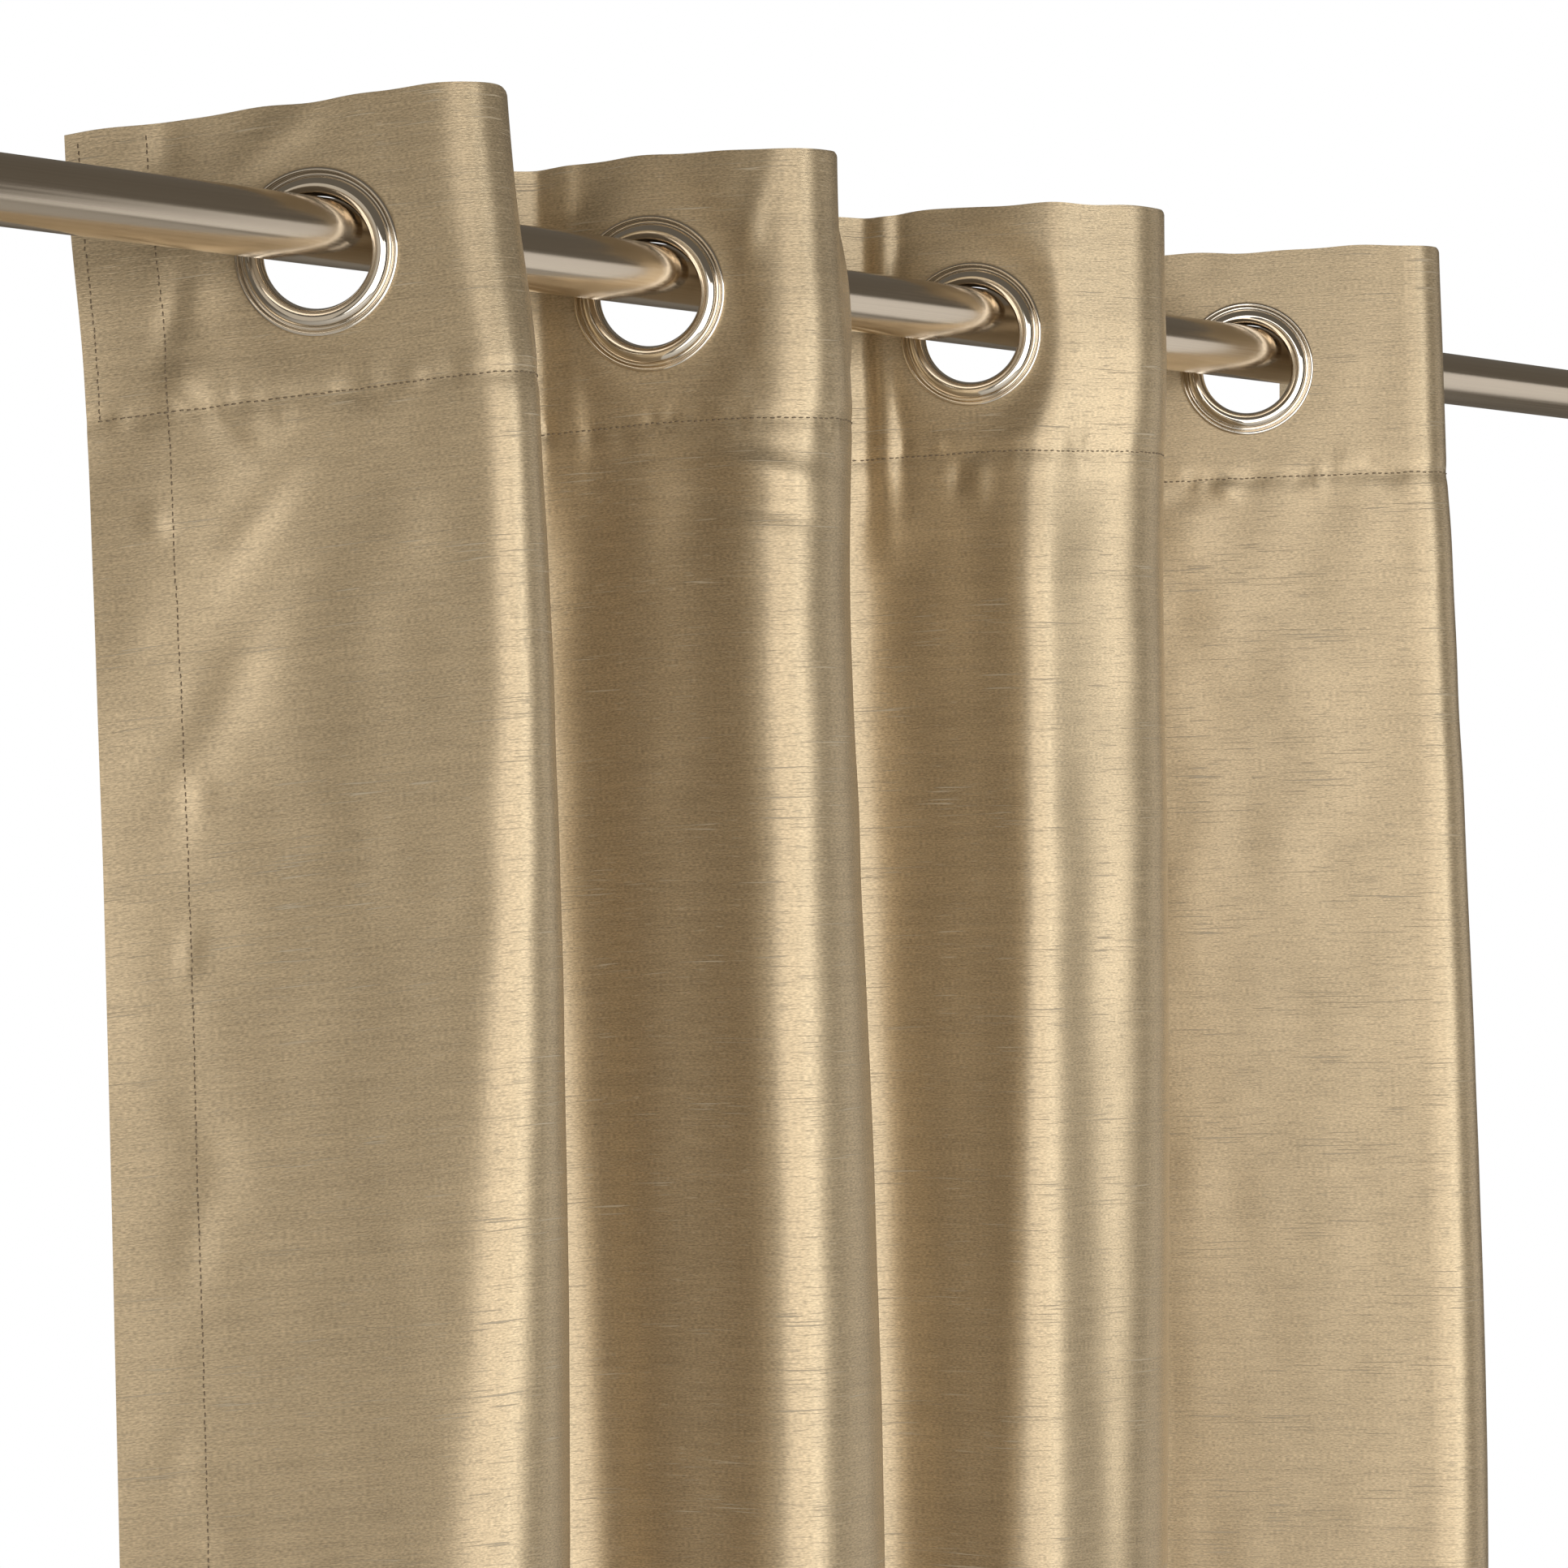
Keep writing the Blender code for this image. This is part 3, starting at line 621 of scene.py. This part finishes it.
def depths(*bands):
    """Depths down the cloth, where each band is its start, its end and its gap, to the bottom edge."""
    return np.concatenate([np.arange(a, b - TINY, gap) for a, b, gap in bands] + [[DROP]])


class Cloth:
    """The hanging cloth's middle layer as a fine grid of places, with its outward normals."""

    def __init__(self):
        self.s = np.arange(round(FLAT_WIDTH * 1000) + 1) * MM
        self.d = depths((0, 0.006, 0.001), (0.006, 0.3, 0.002), (0.3, 0.7, 0.004), (0.7, DROP, 0.008))
        plan = cloth_plan(self.d)
        nodes = [0.0] + [s + CLOTH_BETWEEN / 2 for s in RING_FLAT[:-1]] + [FLAT_WIDTH]
        knots, lifts = list(nodes) + RING_FLAT, [x * MM for x in LIFT] + [0.0] * FACES
        order = np.argsort(knots)
        lift = np.interp(self.s, np.array(knots)[order], np.array(lifts)[order])
        spread, reach = 12.0, 36  # columns over which the lift is smoothed
        soft = np.exp(-0.5 * (np.arange(-reach, reach + 1) / spread) ** 2)
        lift = np.convolve(np.pad(lift, reach, mode="reflect", reflect_type="odd"), soft / soft.sum(), "valid")
        s, d = self.s[None, :], self.d[:, None]
        z = TOP - HANG - d + lift[None, :] * (1 - 0.7 * step(d, 0.2, 1.2))
        z = z + TOP_WAVE * (1 - step(d, 0.0, 0.03)) * ripples(s, d, 21, 10, (28, 90), 0)
        points = np.concatenate((plan, z[..., None]), axis=2)
        points += self.outward(points) * bulges(s, d)[..., None]
        self.points, self.normals = points, self.outward(points)

    def outward(self, points):
        """Unit normals that point into the room."""
        across = np.gradient(points, self.s, axis=1)
        down = np.gradient(points, self.d, axis=0)
        normal = np.cross(across, down)
        normal /= length(normal)
        return -normal if normal[0, 0, 1] > 0 else normal

    def at(self, grid, s, d):
        """Values of a grid at places on the flat cloth."""
        i = np.clip(np.searchsorted(self.s, s) - 1, 0, len(self.s) - 2)
        j = np.clip(np.searchsorted(self.d, d) - 1, 0, len(self.d) - 2)
        u = ((s - self.s[i]) / (self.s[i + 1] - self.s[i]))[..., None]
        v = ((d - self.d[j]) / (self.d[j + 1] - self.d[j]))[..., None]
        top = grid[j, i] * (1 - u) + grid[j, i + 1] * u
        return top * (1 - v) + (grid[j + 1, i] * (1 - u) + grid[j + 1, i + 1] * u) * v


_cloth = []


def the_cloth():
    if not _cloth:
        _cloth.append(Cloth())
    return _cloth[0]


# ---- The cloth's pieces ----------------------------------------------------------------------------

LAYER = 1.3 * MM  # from the middle of the doubled header to its front
SINGLE = 1.0 * MM  # one layer's thickness
HEM_LAYER = 0.8 * MM  # what a hem adds behind
HOLE = 25 * MM  # in the cloth, hidden by the eyelet
HEADER_END = 5 * MM  # from the free edges to the stitching that closes the header's ends
COLUMN = 2.5 * MM  # between the strips' columns
EDGE_ROUND = 1.5 * MM  # how far in from an edge its rounding reaches
# Which neighbour of a cell is missing, and the two corners of the cell that the wall there joins
WALLS = (
    ((-1, 0), ((0, 1), (0, 0))),
    ((1, 0), ((1, 0), (1, 1))),
    ((0, -1), ((0, 0), (1, 0))),
    ((0, 1), ((1, 1), (0, 1))),
)


def strip_range(number):
    """The flat cloth that strip number (0 is the first) covers, from eyelet to eyelet."""
    left = 0.0 if number == 0 else RING_FLAT[number]
    right = FLAT_WIDTH if number == FACES - 2 else RING_FLAT[number + 1]
    return left, right


def strip_grid(number):
    """A strip's flat grid, with rows close together at the top edge, the header seam and the bottom hem."""
    left, right = strip_range(number)
    stops = (left, RING_FLAT[number], RING_FLAT[number + 1], right)
    columns = [np.linspace(a, b, round((b - a) / COLUMN) + 1)[:-1] for a, b in zip(stops, stops[1:]) if b - a > TINY]
    rows = depths(
        (0, 0.003, 0.001), (0.003, 0.102, 0.003), (0.102, 0.114, 0.001), (0.114, 0.3, 0.003), (0.3, 0.7, 0.005),
        (0.7, DROP - BOTTOM_HEM, 0.01), (DROP - BOTTOM_HEM, DROP, 0.005),
    )
    return np.meshgrid(np.concatenate(columns + [[right]]), rows)


def corners_of(cells, shape):
    """The grid points at the corners of marked cells."""
    found = np.zeros(shape, bool)
    for dj, di in ((0, 0), (0, 1), (1, 0), (1, 1)):
        found[dj : dj + cells.shape[0], di : di + cells.shape[1]] |= cells
    return found


def cut_holes(s, d):
    """Marks the cells to keep, and moves the grid at each eyelet's hole out to the hole's edge."""
    mid_s, mid_d = (s[1:, 1:] + s[:-1, :-1]) / 2, (d[1:, 1:] + d[:-1, :-1]) / 2
    kept = np.ones(mid_s.shape, bool)
    for ring in RING_FLAT:
        kept &= np.hypot(mid_s - ring, mid_d - RING_DOWN) > HOLE
    gone = corners_of(~kept, s.shape)
    for ring in RING_FLAT:
        away = np.hypot(s - ring, d - RING_DOWN)
        near = gone & (away < 2 * HOLE) & (away > TINY)
        grow = np.where(near, HOLE / np.maximum(away, TINY), 1)
        s, d = ring + (s - ring) * grow, RING_DOWN + (d - RING_DOWN) * grow
    return s, d, kept


def front_and_back(points, normals, s, d):
    """The two sides of the cloth: thick where the header is doubled, single below, two layers at the hems,
    and rounded off at the edges."""
    rim = np.minimum(np.minimum(d, s), np.minimum(FLAT_WIDTH - s, DROP - d))
    round_off = np.sqrt(np.clip(rim / EDGE_ROUND, 0.08, 1))
    doubled = 1 - step(d, HEADER, HEADER + 1 * MM)
    side_hem = 1 - step(np.minimum(s, FLAT_WIDTH - s), SIDE_HEM, SIDE_HEM + 3 * MM)
    bottom_hem = step(d, DROP - BOTTOM_HEM - 5 * MM, DROP - BOTTOM_HEM)
    hemmed = np.maximum(side_hem, bottom_hem) * (1 - doubled)
    back = np.maximum(-LAYER * doubled + (LAYER - SINGLE) * (1 - doubled) - HEM_LAYER * hemmed, -LAYER)
    centre = (LAYER + back) / 2
    return [points + normals * (centre + (side - centre) * round_off)[..., None] for side in (LAYER, back)]


def shell_faces(kept, index, total):
    """The front's faces, the back's turned over, and the walls that close the edges and the holes.
    Also gives the number of faces before the walls."""
    j, i = np.nonzero(kept)
    quad = np.stack((index[j, i], index[j + 1, i], index[j + 1, i + 1], index[j, i + 1]), axis=1)
    faces = [quad, quad[:, ::-1] + total]
    edge = np.pad(kept, 1)
    for (dj, di), (p, q) in WALLS:
        beside = edge[1 + dj : 1 + dj + kept.shape[0], 1 + di : 1 + di + kept.shape[1]]
        j, i = np.nonzero(kept & ~beside)
        a, b = index[j + p[0], i + p[1]], index[j + q[0], i + q[1]]
        faces.append(np.stack((b, a, a + total, b + total), axis=1))
    return np.concatenate(faces), 2 * len(quad)


def make_strip(number):
    """One strip of cloth from an eyelet to the next, as a closed shell with a half hole at each."""
    cloth = the_cloth()
    s, d, kept = cut_holes(*strip_grid(number))
    points, normals = cloth.at(cloth.points, s, d), cloth.at(cloth.normals, s, d)
    normals /= length(normals)
    sheets = front_and_back(points, normals, s, d)

    used = corners_of(kept, s.shape)
    total = int(used.sum())
    index = np.full(s.shape, -1)
    index[used] = np.arange(total)
    places = np.concatenate([sheet[used] for sheet in sheets])
    uv = np.tile(np.stack((s[used], -d[used]), axis=1), (2, 1))
    faces, flat = shell_faces(kept, index, total)
    mesh = bpy.data.meshes.new(f"cloth_{number + 1}")
    mesh.vertices.add(len(places))
    mesh.vertices.foreach_set("co", places.astype(np.float32).ravel())
    mesh.loops.add(faces.size)
    mesh.loops.foreach_set("vertex_index", faces.astype(np.int32).ravel())
    mesh.polygons.add(len(faces))
    mesh.polygons.foreach_set("loop_start", np.arange(0, faces.size, 4, dtype=np.int32))
    mesh.update(calc_edges=True)
    mesh.validate()
    layer = mesh.uv_layers.new(name="Cloth")
    layer.data.foreach_set("uv", uv[faces.ravel()].astype(np.float32).ravel())
    # The front and back keep the whole cloth's normals, so that no line shows between strips.
    across = np.concatenate((normals[used], -normals[used]))
    corner_normals = np.concatenate((across[faces[:flat].ravel()], np.zeros((4 * (len(faces) - flat), 3))))
    mesh.polygons.foreach_set("use_smooth", np.arange(len(faces)) < flat)
    mesh.normals_split_custom_set(corner_normals.tolist())
    return add_piece(mesh)


def stitch_runs(pitch):
    """Every stitch on the front: where it starts on the flat cloth and which way it runs."""
    gap = 4 * MM  # from the cloth's edges to the ends of a run
    downward, across = (0, 1), (1, 0)
    runs = []
    for line in (SIDE_HEM, FLAT_WIDTH - SIDE_HEM):
        runs += [((line, d), downward) for d in np.arange(gap, DROP - gap, pitch)]
    for line in (HEADER_END, FLAT_WIDTH - HEADER_END):
        runs += [((line, d), downward) for d in np.arange(gap, SEAM_DOWN, pitch)]
    for line in (SEAM_DOWN, DROP - BOTTOM_HEM):
        runs += [((s, line), across) for s in np.arange(gap, FLAT_WIDTH - gap, pitch)]
    return np.array([a for a, _ in runs]), np.array([b for _, b in runs], float)


def make_stitching(number, pitch):
    """The sewn stitches of one strip, each a small rounded thread that dips into the cloth."""
    cloth = the_cloth()
    starts, ways = stitch_runs(pitch)
    left, right = strip_range(number)
    mine = (starts[:, 0] >= left) & (starts[:, 0] < right)
    starts, ways = starts[mine], ways[mine]
    rng = np.random.default_rng(40 + number)
    starts = starts + rng.normal(0, 0.1 * MM, starts.shape)
    ways = ways + rng.normal(0, 0.05, ways.shape)
    stitch, sides = 0.72 * pitch, 5
    # Each ring's share of the way along, its height off the cloth and its radius in mm
    rings = ((0.0, -0.25, 0.06), (0.18, 0.12, 0.26), (0.5, 0.2, 0.3), (0.82, 0.12, 0.26), (1.0, -0.25, 0.06))
    places = []
    for along, up, thick in rings:
        flat = starts + ways * along * stitch
        middle = cloth.at(cloth.points, flat[:, 0], flat[:, 1])
        ahead = cloth.at(cloth.points, flat[:, 0] + ways[:, 0] * MM, flat[:, 1] + ways[:, 1] * MM) - middle
        ahead /= length(ahead)
        normal = cloth.at(cloth.normals, flat[:, 0], flat[:, 1])
        normal /= length(normal)
        beside = np.cross(ahead, normal)
        for k in range(sides):
            turn = 2 * pi * k / sides
            out = (LAYER + up * MM + thick * MM * sin(turn)) * normal
            places.append(middle + out + thick * MM * cos(turn) * beside)
    count = len(starts)
    places = np.stack(places, axis=1).reshape(-1, 3)
    walls = []
    for r in range(len(rings) - 1):
        near, far = r * sides, (r + 1) * sides
        walls += [[near + k, near + (k + 1) % sides, far + (k + 1) % sides, far + k] for k in range(sides)]
    last = (len(rings) - 1) * sides
    ends = [list(range(sides))[::-1], list(range(last, last + sides))]
    faces = [[i * sides * len(rings) + v for v in face] for i in range(count) for face in walls + ends]
    mesh = bpy.data.meshes.new(f"stitching_{number + 1}")
    mesh.from_pydata(places.tolist(), [], faces)
    piece = add_piece(mesh)
    bm = bmesh.new()
    bm.from_mesh(mesh)
    bmesh.ops.recalc_face_normals(bm, faces=bm.faces)
    bm.to_mesh(mesh)
    bm.free()
    mesh.shade_smooth()
    return piece


def bend(piece, number):
    """Works out a line across the fold that strip number crosses, leaning as the cloth does, and bakes the piece's
    transform into its mesh; the line is not used.
    """
    x, z = PLACES[f"fold_{number + 1}"].x, TOP - HEADER
    wide = 0.040 if number in (0, 1) else 0.060  # the cloth that takes the bend
    slope = 0.014
    start = Vector((x - wide / 2, ROD_AXIS.y, z))
    end = start + wide / (1 + slope * slope) * Vector((1, 0, slope))
    f"face_{number + 1}"
    f"face_{number + 2}"
    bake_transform(piece)


# ---- Operators -------------------------------------------------------------------------------------


class CURTAIN_OT_cloth(bpy.types.Operator):
    """Makes the cloth panel in strips that meet at the eyelets"""

    bl_idname = "curtain.cloth"
    bl_label = "Cloth"

    def execute(self, context):
        looks = context.scene.curtain_cloth
        satin, thread = cloth_finish("slubbed satin cloth", looks), thread_finish("sewing thread and painted hole shade", looks)
        for number in range(FACES - 1):
            piece = make_strip(number)
            wear(piece, satin)
            bend(piece, number)
            covered = [number + 1, number + 2] if number == FACES - 2 else [number + 1]
            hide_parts(*[f"{kind}_{k}" for k in covered for kind in ("cloth_face", "header_tape")])
            sewn = make_stitching(number, looks.stitch_pitch)
            wear(sewn, thread)
            bend(sewn, number)
            left, right = strip_range(number)
            right - left
        return {"FINISHED"}


class CURTAIN_OT_eyelets(bpy.types.Operator):
    """Makes the two-part metal eyelets"""

    bl_idname = "curtain.eyelets"
    bl_label = "Eyelets"

    def execute(self, context):
        chrome = polished_finish("polished eyelet metal", context.scene.curtain_metal.ring_colour)
        front = [(22.3, -3.7), (22.3, 1.2), (30.5, 1.2)]  # the barrel's outside and the flange's underside
        front += arc((30.1, 2.1), 0.95, -60, 150, 10)  # the outer bead
        front += [(28.9, 1.95), (28.5, 1.75), (28.1, 1.75), (27.85, 1.85)]  # the groove
        front += arc((24.45, 1.4), 3.4, 12, 178, 20)  # the inner roll
        front += [(20.78, 0.9), (20.6, 0.2), (20.6, -0.4), (20.8, -1.3)]  # the bore, narrowest at its middle
        front += [(21.15, -2.2), (21.6, -3.1), (21.95, -3.7), (22.3, -3.7)]
        back = [(22.6, -1.25), (22.6, -3.3), (23.4, -4.0), (24.4, -4.2), (25.5, -4.2)]
        back += [(28.5, -3.6), (30.4, -2.6), (31.0, -1.8), (31.0, -1.25), (22.6, -1.25)]
        outlines = {"front": front, "back": back}
        patterns = {kind: lathe(f"eyelet_{kind}_pattern", in_mm(outline), 96) for kind, outline in outlines.items()}
        for k in range(FACES):
            along = (cos(RING_ANGLES[k]), -sin(RING_ANGLES[k]))
            right, outward = Vector((*along, 0)), Vector((along[1], -along[0], 0))
            turn = Matrix((right, Vector((0, 0, 1)), outward)).transposed()
            for kind, pattern in patterns.items():
                piece = copy_of(pattern, f"polished_eyelet_{kind}_{k + 1}")
                place(piece, Vector((RING_X[k], ROD_AXIS.y, RING_UP - HANG)), turn)
                wear(piece, chrome)
                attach(piece, f"face_{k + 1}")
                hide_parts(f"eyelet_{kind}_{k + 1}")
        for pattern in patterns.values():
            bpy.data.objects.remove(pattern)
        return {"FINISHED"}


class CURTAIN_OT_rod(bpy.types.Operator):
    """Makes the brushed rod"""

    bl_idname = "curtain.rod"
    bl_label = "Rod"

    def execute(self, context):
        low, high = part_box("rod_tube")
        radius, wall, bevel = (high.z - low.z) / 2, 1.2 * MM, 0.3 * MM
        outline = [(radius - wall, 0), (radius - bevel, 0), (radius, bevel)]
        outline += [(r, high.x - low.x - h) for r, h in outline[::-1]]
        tube = lathe("brushed_rod", outline + [outline[0]], 128)
        place(tube, Vector((low.x, ROD_AXIS.y, 0)), Matrix.Rotation(pi / 2, 3, "Y"))
        wear(tube, brushed_finish("brushed rod metal", context.scene.curtain_metal.rod_colour))
        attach(tube, "rod")
        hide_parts("rod_tube")
        return {"FINISHED"}


class CURTAIN_OT_caps(bpy.types.Operator):
    """Makes the turned caps on the rod's ends"""

    bl_idname = "curtain.caps"
    bl_label = "End caps"

    def execute(self, context):
        metal = brushed_finish("turned cap metal", context.scene.curtain_metal.rod_colour)
        outline = [(12.8, 0.3), (13.1, 0.0), (14.6, 0.0)]  # the sleeve's mouth
        outline += arc((14.5, 0.5), 0.5, -60, 0, 3) + arc((14.5, 14.5), 0.5, 0, 80, 4)
        outline += [(13.9, 15.4), (13.3, 16.6), (13.0, 17.8), (13.1, 18.6)]  # the neck
        outline += arc((13.6, 19.6), 0.9, -80, 80, 6) + [(14.0, 20.9), (15.6, 22.2)]
        outline += [(18.5 * cos(a), 31 + 16.0 * sin(a)) for a in np.radians(np.arange(-31, 90, 5.5))]  # the knob
        outline += [(0.0, 47.0), (0.0, 14.0), (12.4, 14.0), (12.8, 13.6), (12.8, 0.3)]  # its tip and the blind hole
        pattern = lathe("end_cap_pattern", in_mm(outline), 96)
        for side, way in (("left", -1), ("right", 1)):
            low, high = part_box(f"end_cap_{side}")
            piece = copy_of(pattern, f"turned_end_cap_{side}")
            mouth = high.x if way < 0 else low.x
            place(piece, Vector((mouth, ROD_AXIS.y, 0)), Matrix.Rotation(way * pi / 2, 3, "Y"))
            wear(piece, metal)
            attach(piece, "rod")
            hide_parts(f"end_cap_{side}")
        bpy.data.objects.remove(pattern)
        return {"FINISHED"}


class CURTAIN_OT_fittings(bpy.types.Operator):
    """Gives the brackets and screws their finishes"""

    bl_idname = "curtain.fittings"
    bl_label = "Fittings"

    def execute(self, context):
        looks = context.scene.curtain_metal
        metal = polished_finish("satin nickel fittings", looks.rod_colour, 0.2)
        screws = polished_finish("plated screw steel", looks.screw_colour, 0.18)
        for name, node in frame["nodes"].items():
            if name.startswith(("wall_plate", "bracket_arm", "rod_cradle", "rod_screw")):
                wear(node, metal)
            if name.startswith(("wall_screw", "arm_screw", "end_cap_screw")):
                wear(node, screws)
        return {"FINISHED"}


COOL, WARM, PLAIN = (0.95, 0.98, 1.0), (1.0, 0.93, 0.82), (1.0, 1.0, 1.0)
# Each soft box's name, degrees to the left of straight in front, distance, height over the middle, width and
# height, share of the key light's power, and colour
LIGHTS = (
    ("front_light", 8, 3.0, -0.25, (1.05, 2.7), 0.86, COOL),
    ("broad_light", 41, 3.2, -0.25, (2.1, 2.7), 1.08, PLAIN),
    ("left_fill", 80, 3.3, -0.2, (1.5, 2.6), 0.13, WARM),
    ("side_light", -54, 3.5, -0.35, (2.3, 2.5), 0.32, PLAIN),
    ("back_light", 165, 3.5, 0.3, (2.5, 2.5), 0.8, PLAIN),
)
CAMERA_PLACE = Vector((-1.1027, -1.1712, -0.2019))  # from the rod's axis at the first eyelet
CAMERA_TURN = radians(49.35)  # to the right of square to the rod
CAMERA_LENS = 100.6  # mm


class CURTAIN_OT_stage(bpy.types.Operator):
    """Sets up the floor, the lights and the camera"""

    bl_idname = "curtain.stage"
    bl_label = "Stage"

    def execute(self, context):
        looks, scene = context.scene.curtain_studio, context.scene
        drop_selection()
        bpy.ops.mesh.primitive_plane_add(size=8, location=(0.6, 0, TOP - DROP - 0.12))
        floor = context.object
        floor.name = "studio_floor"
        made = Finish("plain floor")
        made.set(Base_Color=(*looks.floor_colour, 1), Roughness=0.8)
        floor.data.materials.append(made.material)

        world = bpy.data.worlds.new("Studio")
        world.use_nodes = True
        scene.world = world
        nodes, links = world.node_tree.nodes, world.node_tree.links
        background = nodes["Background"]
        seen, path = nodes.new("ShaderNodeBackground"), nodes.new("ShaderNodeLightPath")
        mix = nodes.new("ShaderNodeMixShader")
        background.inputs["Color"].default_value = (1, 0.9, 0.76, 1)
        background.inputs["Strength"].default_value = looks.sky
        seen.inputs["Color"].default_value = (1, 1, 1, 1)
        links.new(path.outputs["Is Camera Ray"], mix.inputs[0])
        links.new(background.outputs[0], mix.inputs[1])
        links.new(seen.outputs[0], mix.inputs[2])
        links.new(mix.outputs[0], nodes["World Output"].inputs["Surface"])

        target = Vector((0.55, ROD_AXIS.y, -0.35))
        for name, azimuth, far, up, size, share, colour in LIGHTS:
            turn = radians(azimuth)
            where = target + Vector((-sin(turn) * far, -cos(turn) * far, up))
            bpy.ops.object.light_add(type="AREA", location=where)
            light = context.object
            light.name = name
            light.rotation_euler = (target - where).to_track_quat("-Z", "Y").to_euler()
            light.data.shape, light.data.size, light.data.size_y = "RECTANGLE", *size
            light.data.energy, light.data.color = share * looks.key_power, colour

        where = Vector((RING_X[0], ROD_AXIS.y, 0)) + CAMERA_PLACE
        bpy.ops.object.camera_add(location=where, rotation=(pi / 2, 0, -CAMERA_TURN))
        camera = context.object
        camera.data.sensor_width, camera.data.lens = 36, CAMERA_LENS
        camera.data.clip_start = 0.05
        scene.camera = camera
        scene.view_settings.view_transform = "Standard"
        return {"FINISHED"}


class CURTAIN_PT_panel(bpy.types.Panel):
    """Lists the steps that make the curtain"""

    bl_label = "Curtain"
    bl_idname = "CURTAIN_PT_panel"
    bl_space_type = "VIEW_3D"
    bl_region_type = "UI"
    bl_category = "Curtain"

    def draw(self, context):
        for operator in OPERATORS:
            self.layout.operator(operator.bl_idname)


SETTINGS = {"curtain_cloth": ClothSettings, "curtain_metal": MetalSettings, "curtain_studio": StudioSettings}
OPERATORS = (
    CURTAIN_OT_cloth,
    CURTAIN_OT_eyelets,
    CURTAIN_OT_rod,
    CURTAIN_OT_caps,
    CURTAIN_OT_fittings,
    CURTAIN_OT_stage,
)


def register():
    for kind in (*SETTINGS.values(), *OPERATORS, CURTAIN_PT_panel):
        bpy.utils.register_class(kind)
    for name, kind in SETTINGS.items():
        setattr(bpy.types.Scene, name, bpy.props.PointerProperty(type=kind))


def unregister():
    for name in SETTINGS:
        delattr(bpy.types.Scene, name)
    for kind in (CURTAIN_PT_panel, *OPERATORS, *SETTINGS.values()):
        bpy.utils.unregister_class(kind)


def main():
    register()
    for operator in OPERATORS:
        group, name = operator.bl_idname.split(".")
        getattr(getattr(bpy.ops, group), name)()


if __name__ == "__main__":
    main()
